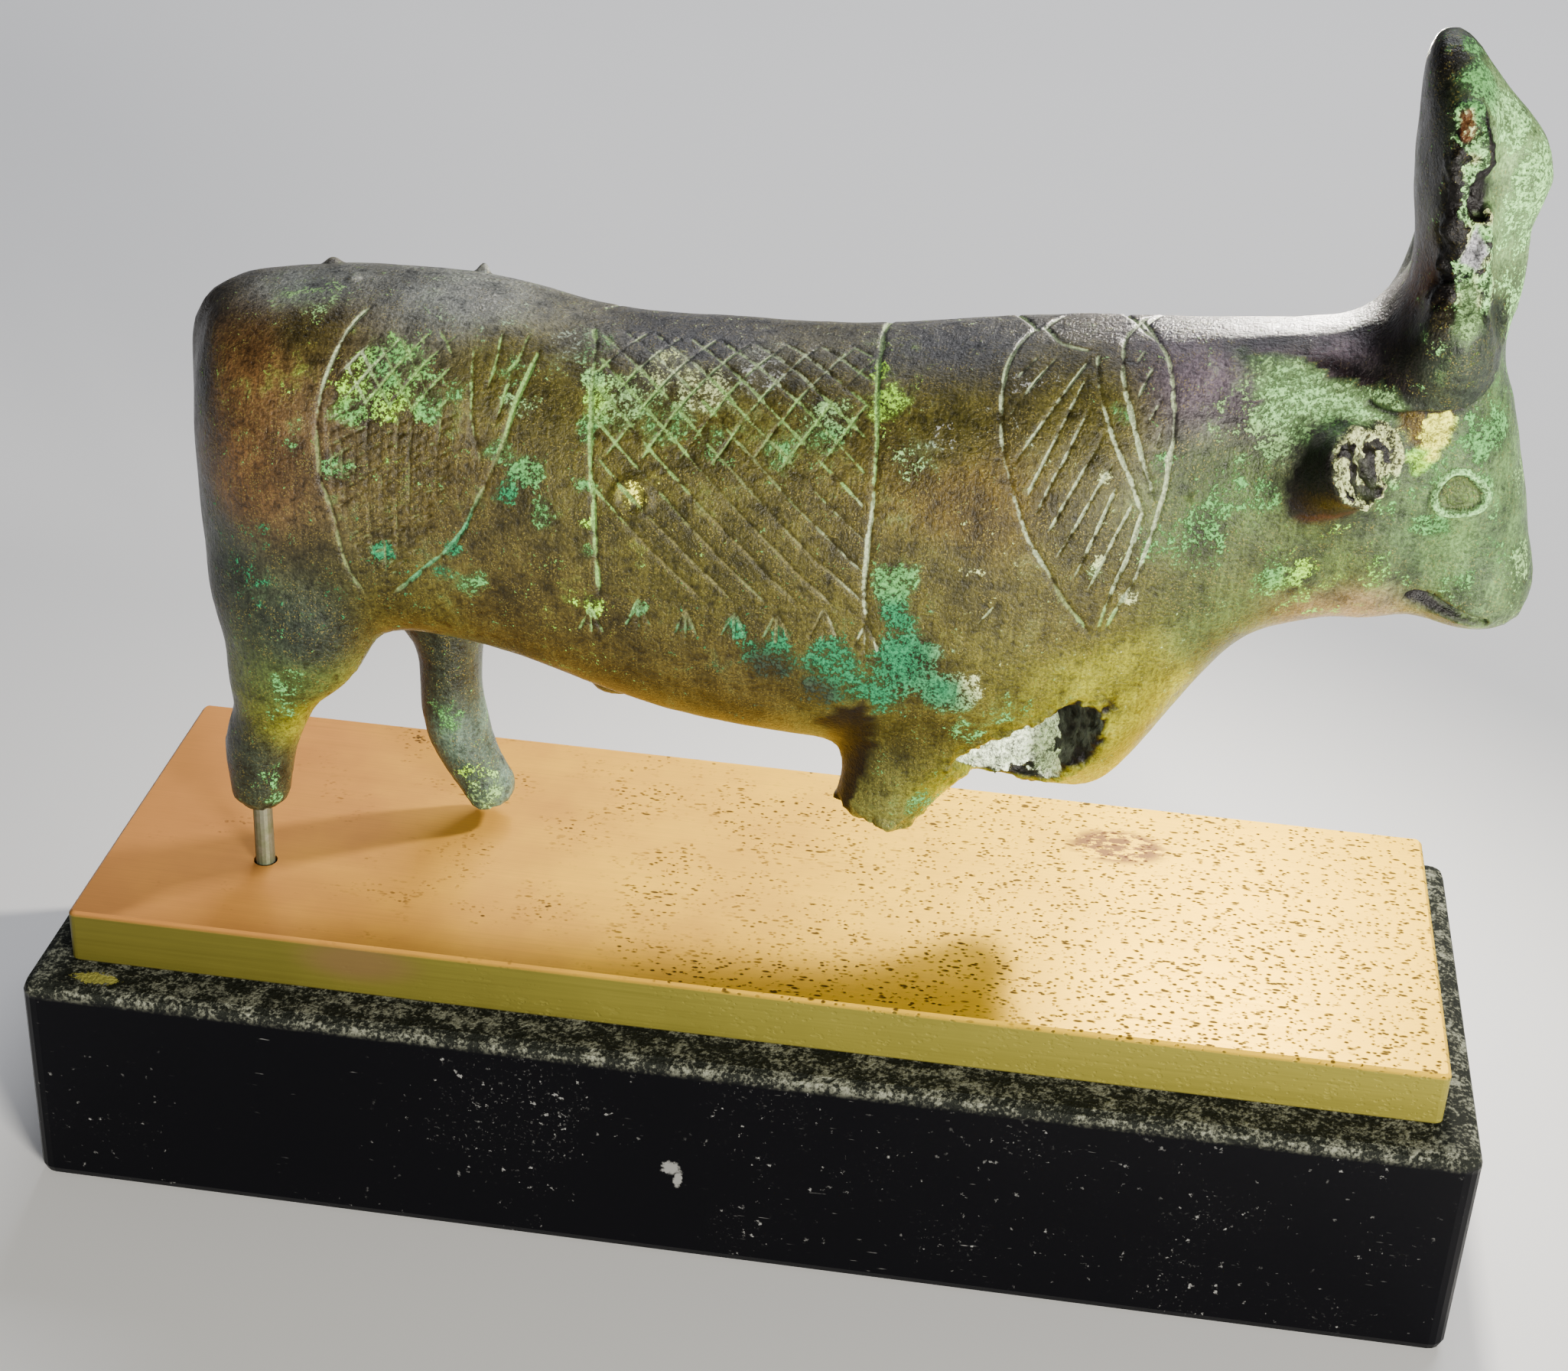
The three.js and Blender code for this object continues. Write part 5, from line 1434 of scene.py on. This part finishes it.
# Marks on the plate and the block, each with its middle and its reach along x, y and z
BLOTCH = ((28.6, 10.2, 24.2), (5.2, 3.2, 3))
STAIN = ((-31.0, -17.2, 22.7), (6.0, 2, 2.4))
SCUFFS = [((-4.6, -21.2, 9.1), (0.85, 2, 0.75)), ((-4.0, -21.2, 8.0), (0.4, 2, 1.0))]
CRUMB = ((-52.2, -19.1, 19.4), (2.0, 0.8, 1.5))
BLOTCH_RED = (0.11, 0.040, 0.026)
STAIN_BROWN = (0.15, 0.085, 0.035)
CRUMB_YELLOW = (0.36, 0.34, 0.07)
DARK_GRIT = (0.014, 0.016, 0.012)
PALE_GRIT = (0.26, 0.27, 0.20)
TARNISH = (0.16, 0.19, 0.11)


def bronze_finish(settings):
    """Patina in the colour of each place, speckled with bright metal and painted glints, under crust where
    noise rises over a level that falls as the crust's cover grows."""
    f = Finish("bronze_patina")
    broad = f.noise(4.5, 4, 0.6)
    grain = f.noise(1.1, 6, 0.62)
    fine = f.noise(0.26, 4, 0.62)
    spark = f.noise(0.13, 2, 0.5)
    strokes = f.streaks(3, 0.6, 5.5, 0.4, 0.4)
    upright = f.streaks(3, 0.6, 0.3, 3, 4.5)
    cover = f.attribute("cover", "Fac")
    coarse = f.mask(grain, 0.36, 0.64)
    crisp = f.mask(fine, 0.36, 0.64)
    salt = f.shade(f.attribute("fill"), f.times(f.span(crisp, 0.35, 1.5), f.span(coarse, 0.55, 1.3)))
    salt = f.mix(f.times(f.mask(spark, 0.56, 0.66), 0.40), salt, f.shade(f.attribute("fill"), 2.2))
    shade = f.times(f.span(f.mask(broad, 0.34, 0.66), 0.62, 1.32), f.span(crisp, 0.66, 1.38))
    shade = f.times(shade, f.span(f.mask(upright, 0.3, 0.7), 0.78, 1.22))
    tone = f.shade(f.attribute("tone"), shade)
    hazy = f.plus(f.plus(cover, f.sway(broad, 1.3)), f.sway(grain, 0.9))
    tone = f.mix(f.times(f.mask(hazy, 0.22, 0.9), 0.55), tone, salt)
    # Golden specks: bare metal, brightened as painted glint
    glint = f.times(f.mask(spark, 0.56, 0.68), f.mask(grain, 0.44, 0.56))
    glint = f.times(glint, f.mask(cover, 0.02, 0.12))
    tone = f.mix(f.times(glint, 0.55), tone, settings.golden_speck_glint)
    tone = f.shade(tone, f.span(f.mask(grain, 0.34, 0.46), 0.5, 1))
    risen = f.plus(f.plus(cover, f.sway(grain, 1.5)), f.sway(fine, 1.7))
    crusted = f.mask(risen, 0.48, 0.62)
    broken = f.times(f.span(f.mask(grain, 0.38, 0.56), 0.50, 1.2),
                     f.span(f.mask(cover, 0.10, 0.4), 0.8, 1.25))
    filled = f.mask(f.times(f.attribute("crust", "Fac"), broken), 0.26, 0.66)
    pale = f.shade(f.attribute("engraved"), f.span(crisp, 0.55, 1.25))
    colour = f.mix(f.times(filled, 0.9), f.mix(crusted, tone, salt), pale)
    dull = f.most(crusted, f.times(filled, 0.7))
    worn = f.times(f.math("SUBTRACT", 1.0, dull), f.plus(f.sway(grain, 0.5), settings.patina_roughness))
    roughness = f.plus(f.times(dull, settings.crust_roughness), worn, True)
    pitted = f.bump(f.plus(f.times(fine, 0.5), grain), 0.18, 0.6)
    pitted = f.bump(f.plus(strokes, upright), 0.05, 0.5, pitted)
    raised = f.bump(f.plus(crusted, f.times(fine, 0.8)), 0.12, 0.7, pitted)
    return f.surface(base_color=colour, roughness=roughness, metallic=f.times(glint, 0.5),
                     specular_ior_level=0.28, normal=raised)


def plate_finish(settings):
    """Brushed brass, coppery and darker by the rump, the darkness partly painted shade, and pale by the
    head; pitted on top and dull on its sides.
    """
    f = Finish("brushed_brass")
    x, _, z = (f.add("ShaderNodeSeparateXYZ", {0: f.place}).outputs[k] for k in range(3))
    on_top = f.mask(z, MM * (PLATE_TOP - 0.45), MM * (PLATE_TOP - 0.1))
    brushing = f.streaks(4, 0.7, 26, 0.22, 0.22)
    cloudy = f.noise(16, 4, 0.6)
    ahead = f.mask(f.plus(x, f.sway(cloudy, 0.05)), -0.055, 0.03)
    top = f.mix(ahead, settings.copper_and_painted_shade, settings.brass)
    top = f.shade(top, f.times(f.span(brushing, 0.82, 1.18), f.span(cloudy, 0.75, 1.25)))
    dashes = f.times(f.mask(f.cells(1.3, 0.55, 0.55), 0.34, 0.18), f.mask(f.noise(1.3, 2, 0.5), 0.44, 0.56))
    specks = f.times(f.mask(f.cells(0.60, 0.42, 0.42), 0.42, 0.20),
                     f.mask(f.noise(0.8, 2, 0.5), 0.44, 0.54))
    crowded = f.mask(f.plus(f.noise(6, 3, 0.6), f.times(x, 5.0)), 0.34, 0.58)
    pits = f.times(f.most(dashes, specks), crowded)
    top = f.mix(f.times(pits, 0.92), top, settings.pit)
    wisps = f.mask(f.streaks(5, 0.7, 1.8, 0.9, 0.9), 0.44, 0.50)
    blotch = f.times(f.mask(f.around(*BLOTCH), 1.0, 0.6), wisps)
    top = f.mix(f.times(blotch, 0.9), top, BLOTCH_RED)
    side = f.shade(settings.side, f.times(f.span(brushing, 0.75, 1.25), f.span(ahead, 0.65, 1.35)))
    stain = f.times(f.mask(f.around(*STAIN), 1.1, 0.3), f.span(cloudy, 0.4, 1))
    side = f.mix(stain, side, STAIN_BROWN)
    roughness = f.plus(f.plus(f.sway(brushing, 0.30), settings.roughness), f.times(pits, 0.3), True)
    normal = f.bump(f.math("SUBTRACT", 1.0, pits), 0.06, 0.5, f.bump(brushing, 0.02, 0.30))
    return f.surface(base_color=f.mix(on_top, side, top), roughness=roughness, metallic=0.30,
                     specular_ior_level=0.12, normal=normal)


def block_finish(settings):
    """Black lacquer with dust, specks and hair scratches, and grains of dirt along its top edge."""
    f = Finish("black_lacquer_worn")
    z = f.add("ShaderNodeSeparateXYZ", {0: f.place}).outputs[2]
    on_top = f.mask(z, MM * (BLOCK_TOP - 1.3), MM * (BLOCK_TOP - 0.35))
    smear = f.noise(13, 5, 0.65)
    fine = f.noise(0.32, 4, 0.62)
    crumbs = f.times(f.mask(f.noise(0.7, 3, 0.6), 0.66, 0.74), f.mask(smear, 0.44, 0.58))
    hair = f.times(f.mask(f.streaks(2, 0.5, 1.6, 0.35, 0.22), 0.72, 0.80),
                   f.mask(f.noise(9, 3, 0.6), 0.5, 0.6))
    dust = f.times(f.mask(fine, 0.60, 0.74), f.mask(smear, 0.52, 0.68))
    worn = f.most(crumbs, f.most(f.times(hair, 0.6), f.times(dust, 0.45)))
    wobble = f.sway(fine, 1.6)
    for scuff in SCUFFS:
        worn = f.most(worn, f.mask(f.plus(f.around(*scuff), wobble), 1.0, 0.6))
    colour = f.mix(f.times(worn, 0.8), settings.lacquer, settings.dust)
    level = f.plus(fine, f.times(f.noise(1.7, 4, 0.6), 0.8))
    grit = f.mix(f.mask(level, 0.84, 1.14), DARK_GRIT, PALE_GRIT)
    colour = f.mix(f.times(on_top, 0.9), colour, grit)
    crumb = f.mask(f.plus(f.around(*CRUMB), wobble), 1.0, 0.8)
    colour = f.mix(crumb, colour, CRUMB_YELLOW)
    roughness = f.plus(f.span(smear, settings.roughness - 0.08, settings.roughness + 0.12),
                       f.times(f.most(worn, on_top), 0.3), True)
    normal = f.bump(smear, 0.05, 0.15, f.bump(f.times(on_top, level), 0.3, 0.9))
    return f.surface(base_color=colour, roughness=roughness, metallic=0.0, specular_ior_level=0.08,
                     normal=normal)


def pin_finish(settings):
    """Dull steel with greenish tarnish."""
    f = Finish("tarnished_steel")
    cloudy = f.noise(1.6, 4, 0.6)
    fine = f.noise(0.25, 3, 0.6)
    colour = f.shade(f.mix(f.mask(cloudy, 0.42, 0.62), settings.steel, TARNISH), f.span(fine, 0.7, 1.3))
    return f.surface(base_color=colour, roughness=f.span(cloudy, 0.32, 0.6), metallic=0.75,
                     specular_ior_level=0.5, normal=f.bump(fine, 0.04, 0.4))


def floor_finish(settings):
    """A pale matt floor with the faintest cloud in it."""
    f = Finish("pale_floor")
    colour = f.shade(settings.floor, f.span(f.noise(160, 3, 0.5), 0.97, 1.03))
    return f.surface(base_color=colour, roughness=0.9, metallic=0.0, specular_ior_level=0.2)


def coat(node, material):
    """Gives a node's object the material in each of its slots."""
    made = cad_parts[node]
    if not made.data.materials:
        made.data.materials.append(material)
    for index in range(len(made.data.materials)):
        made.data.materials[index] = material


# Operators


class BRONZE_BULL_OT_cast(bpy.types.Operator):
    """Casts the bull's detailed skin in place of its plain solid"""

    bl_idname = "bronze_bull.cast"
    bl_label = "Cast Bull"
    bl_options = {"REGISTER", "UNDO"}

    def execute(self, context):
        settings = context.scene.bronze_bull.bull
        sheet = engraved_sheet(settings.line_depth / MM, settings.line_half / MM)
        points, faces, crust = bull_skin(settings.grain / MM, sheet)
        tone, fill, engraved, cover = skin_colours(points)
        made = new_object("bronze_bull", (points + FIGURE_BASE) * MM, faces)
        made.data.shade_smooth()
        for name, colour in (("tone", tone), ("fill", fill), ("engraved", engraved)):
            layer = made.data.color_attributes.new(name, "FLOAT_COLOR", "POINT")
            layer.data.foreach_set("color", np.c_[colour, np.ones(len(colour))].astype(np.float32).ravel())
        for name, value in (("cover", cover), ("crust", crust)):
            layer = made.data.attributes.new(name, "FLOAT", "POINT")
            layer.data.foreach_set("value", value.astype(np.float32))
        made.data.materials.append(bronze_finish(settings))
        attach(made, "root")
        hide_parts("bull")
        return {"FINISHED"}


class BRONZE_BULL_OT_brush_plate(bpy.types.Operator):
    """Gives the plate its brushed and pitted brass"""

    bl_idname = "bronze_bull.brush_plate"
    bl_label = "Brush Plate"
    bl_options = {"REGISTER", "UNDO"}

    def execute(self, context):
        coat("brass_plate", plate_finish(context.scene.bronze_bull.plate))
        return {"FINISHED"}


class BRONZE_BULL_OT_lacquer_block(bpy.types.Operator):
    """Gives the block its worn black lacquer"""

    bl_idname = "bronze_bull.lacquer_block"
    bl_label = "Lacquer Block"
    bl_options = {"REGISTER", "UNDO"}

    def execute(self, context):
        coat("base_block", block_finish(context.scene.bronze_bull.block))
        return {"FINISHED"}


class BRONZE_BULL_OT_tarnish_pin(bpy.types.Operator):
    """Gives the pin its tarnished steel"""

    bl_idname = "bronze_bull.tarnish_pin"
    bl_label = "Tarnish Pin"
    bl_options = {"REGISTER", "UNDO"}

    def execute(self, context):
        coat("mounting_pin", pin_finish(context.scene.bronze_bull.pin))
        return {"FINISHED"}


# The camera's place, and how far it looks round from the side, from above and rolled, in degrees
CAMERA_PLACE = Vector((0.021033, -0.186546, 0.148352))
CAMERA_ROUND = 6.398
CAMERA_ABOVE = 29.452
CAMERA_ROLL = 2.999
SENSOR_WIDTH = 36
NEAREST_SEEN = 0.005
FLOOR_HALF = 3.0
FLOOR_GAP = 0.0002
AIM = Vector((0, 0, 0.05))
# Each light: its direction from the aim, its distance, its width and height, and its colour
BACK_LIGHT = ((0.20, 0.90, 1.0), 0.75, (0.50, 0.22), (0.93, 0.94, 1.0))
LAMP = ((0.45, 0.56, 0.38), 0.0812, (0.010, 0.010), (1.0, 0.94, 0.84))
KEY_LIGHT = ((0.62, -0.80, 0.16), 0.70, (0.16, 0.14), (1.0, 0.96, 0.88))
SURROUND_COLOUR = (0.93, 0.95, 1.0)


def camera_matrix():
    """Right, up and back axes from the three angles, and the place."""
    turn, rise, roll = (math.radians(angle) for angle in (CAMERA_ROUND, CAMERA_ABOVE, CAMERA_ROLL))
    back = Vector((math.sin(turn) * math.cos(rise), -math.cos(turn) * math.cos(rise), math.sin(rise)))
    level = Vector((math.cos(turn), math.sin(turn), 0))
    upright = back.cross(level)
    right = math.cos(roll) * level + math.sin(roll) * upright
    up = back.cross(right)
    axes = Matrix((right, up, back)).transposed().to_4x4()
    return Matrix.Translation(CAMERA_PLACE) @ axes


def studio_light(name, power, direction, distance, size, colour):
    """A soft rectangular light in a direction from the bull, aimed at it."""
    lamp = bpy.data.lights.new(name, "AREA")
    lamp.shape = "RECTANGLE"
    lamp.size, lamp.size_y = size
    lamp.energy = power
    lamp.color = colour
    made = bpy.data.objects.new(name, lamp)
    way = Vector(direction).normalized()
    made.location = AIM + distance * way
    made.rotation_euler = way.to_track_quat("Z", "Y").to_euler()
    made.visible_camera = False
    bpy.context.scene.collection.objects.link(made)


class BRONZE_BULL_OT_stage(bpy.types.Operator):
    """Lays the floor and sets up the lights and the camera"""

    bl_idname = "bronze_bull.stage"
    bl_label = "Set Stage"
    bl_options = {"REGISTER", "UNDO"}

    def execute(self, context):
        settings = context.scene.bronze_bull.studio
        half = FLOOR_HALF
        low = BLOCK_BASE * MM - FLOOR_GAP
        corners = np.array([(-half, -half, low), (half, -half, low), (half, half, low), (-half, half, low)])
        floor = new_object("floor", corners, np.array([[0, 1, 2], [0, 2, 3]]))
        floor.data.materials.append(floor_finish(settings))
        world = bpy.data.worlds.new("studio")
        world.use_nodes = True
        background = world.node_tree.nodes["Background"]
        background.inputs["Color"].default_value = (*SURROUND_COLOUR, 1)
        background.inputs["Strength"].default_value = settings.surround
        context.scene.world = world
        studio_light("back_light", settings.back_power, *BACK_LIGHT)
        studio_light("lamp", settings.lamp_power, *LAMP)
        studio_light("key_light", settings.key_power, *KEY_LIGHT)
        lens = bpy.data.cameras.new("camera")
        lens.lens = settings.lens
        lens.sensor_width = SENSOR_WIDTH
        lens.sensor_fit = "HORIZONTAL"
        lens.clip_start = NEAREST_SEEN
        camera = bpy.data.objects.new("camera", lens)
        camera.matrix_world = camera_matrix()
        context.scene.collection.objects.link(camera)
        context.scene.camera = camera
        return {"FINISHED"}


class BRONZE_BULL_PT_panel(bpy.types.Panel):
    """Lists the steps and their settings"""

    bl_idname = "BRONZE_BULL_PT_panel"
    bl_label = "Bronze Bull"
    bl_space_type = "VIEW_3D"
    bl_region_type = "UI"
    bl_category = "Bronze Bull"

    def draw(self, context):
        settings = context.scene.bronze_bull
        for step, group in STEPS:
            box = self.layout.box()
            box.operator(step.bl_idname)
            values = getattr(settings, group)
            for name in values.__annotations__:
                box.prop(values, name)


STEPS = [(BRONZE_BULL_OT_stage, "studio"), (BRONZE_BULL_OT_cast, "bull"),
         (BRONZE_BULL_OT_brush_plate, "plate"), (BRONZE_BULL_OT_lacquer_block, "block"),
         (BRONZE_BULL_OT_tarnish_pin, "pin")]
CLASSES = [BullSettings, PlateSettings, BlockSettings, PinSettings, StudioSettings, BronzeBullSettings,
           *(step for step, _ in STEPS), BRONZE_BULL_PT_panel]


def register():
    for kind in CLASSES:
        bpy.utils.register_class(kind)
    bpy.types.Scene.bronze_bull = PointerProperty(type=BronzeBullSettings)


def unregister():
    del bpy.types.Scene.bronze_bull
    for kind in reversed(CLASSES):
        bpy.utils.unregister_class(kind)


def main():
    register()
    bpy.ops.bronze_bull.stage()
    bpy.ops.bronze_bull.cast()
    bpy.ops.bronze_bull.brush_plate()
    bpy.ops.bronze_bull.lacquer_block()
    bpy.ops.bronze_bull.tarnish_pin()


if __name__ == "__main__":
    main()
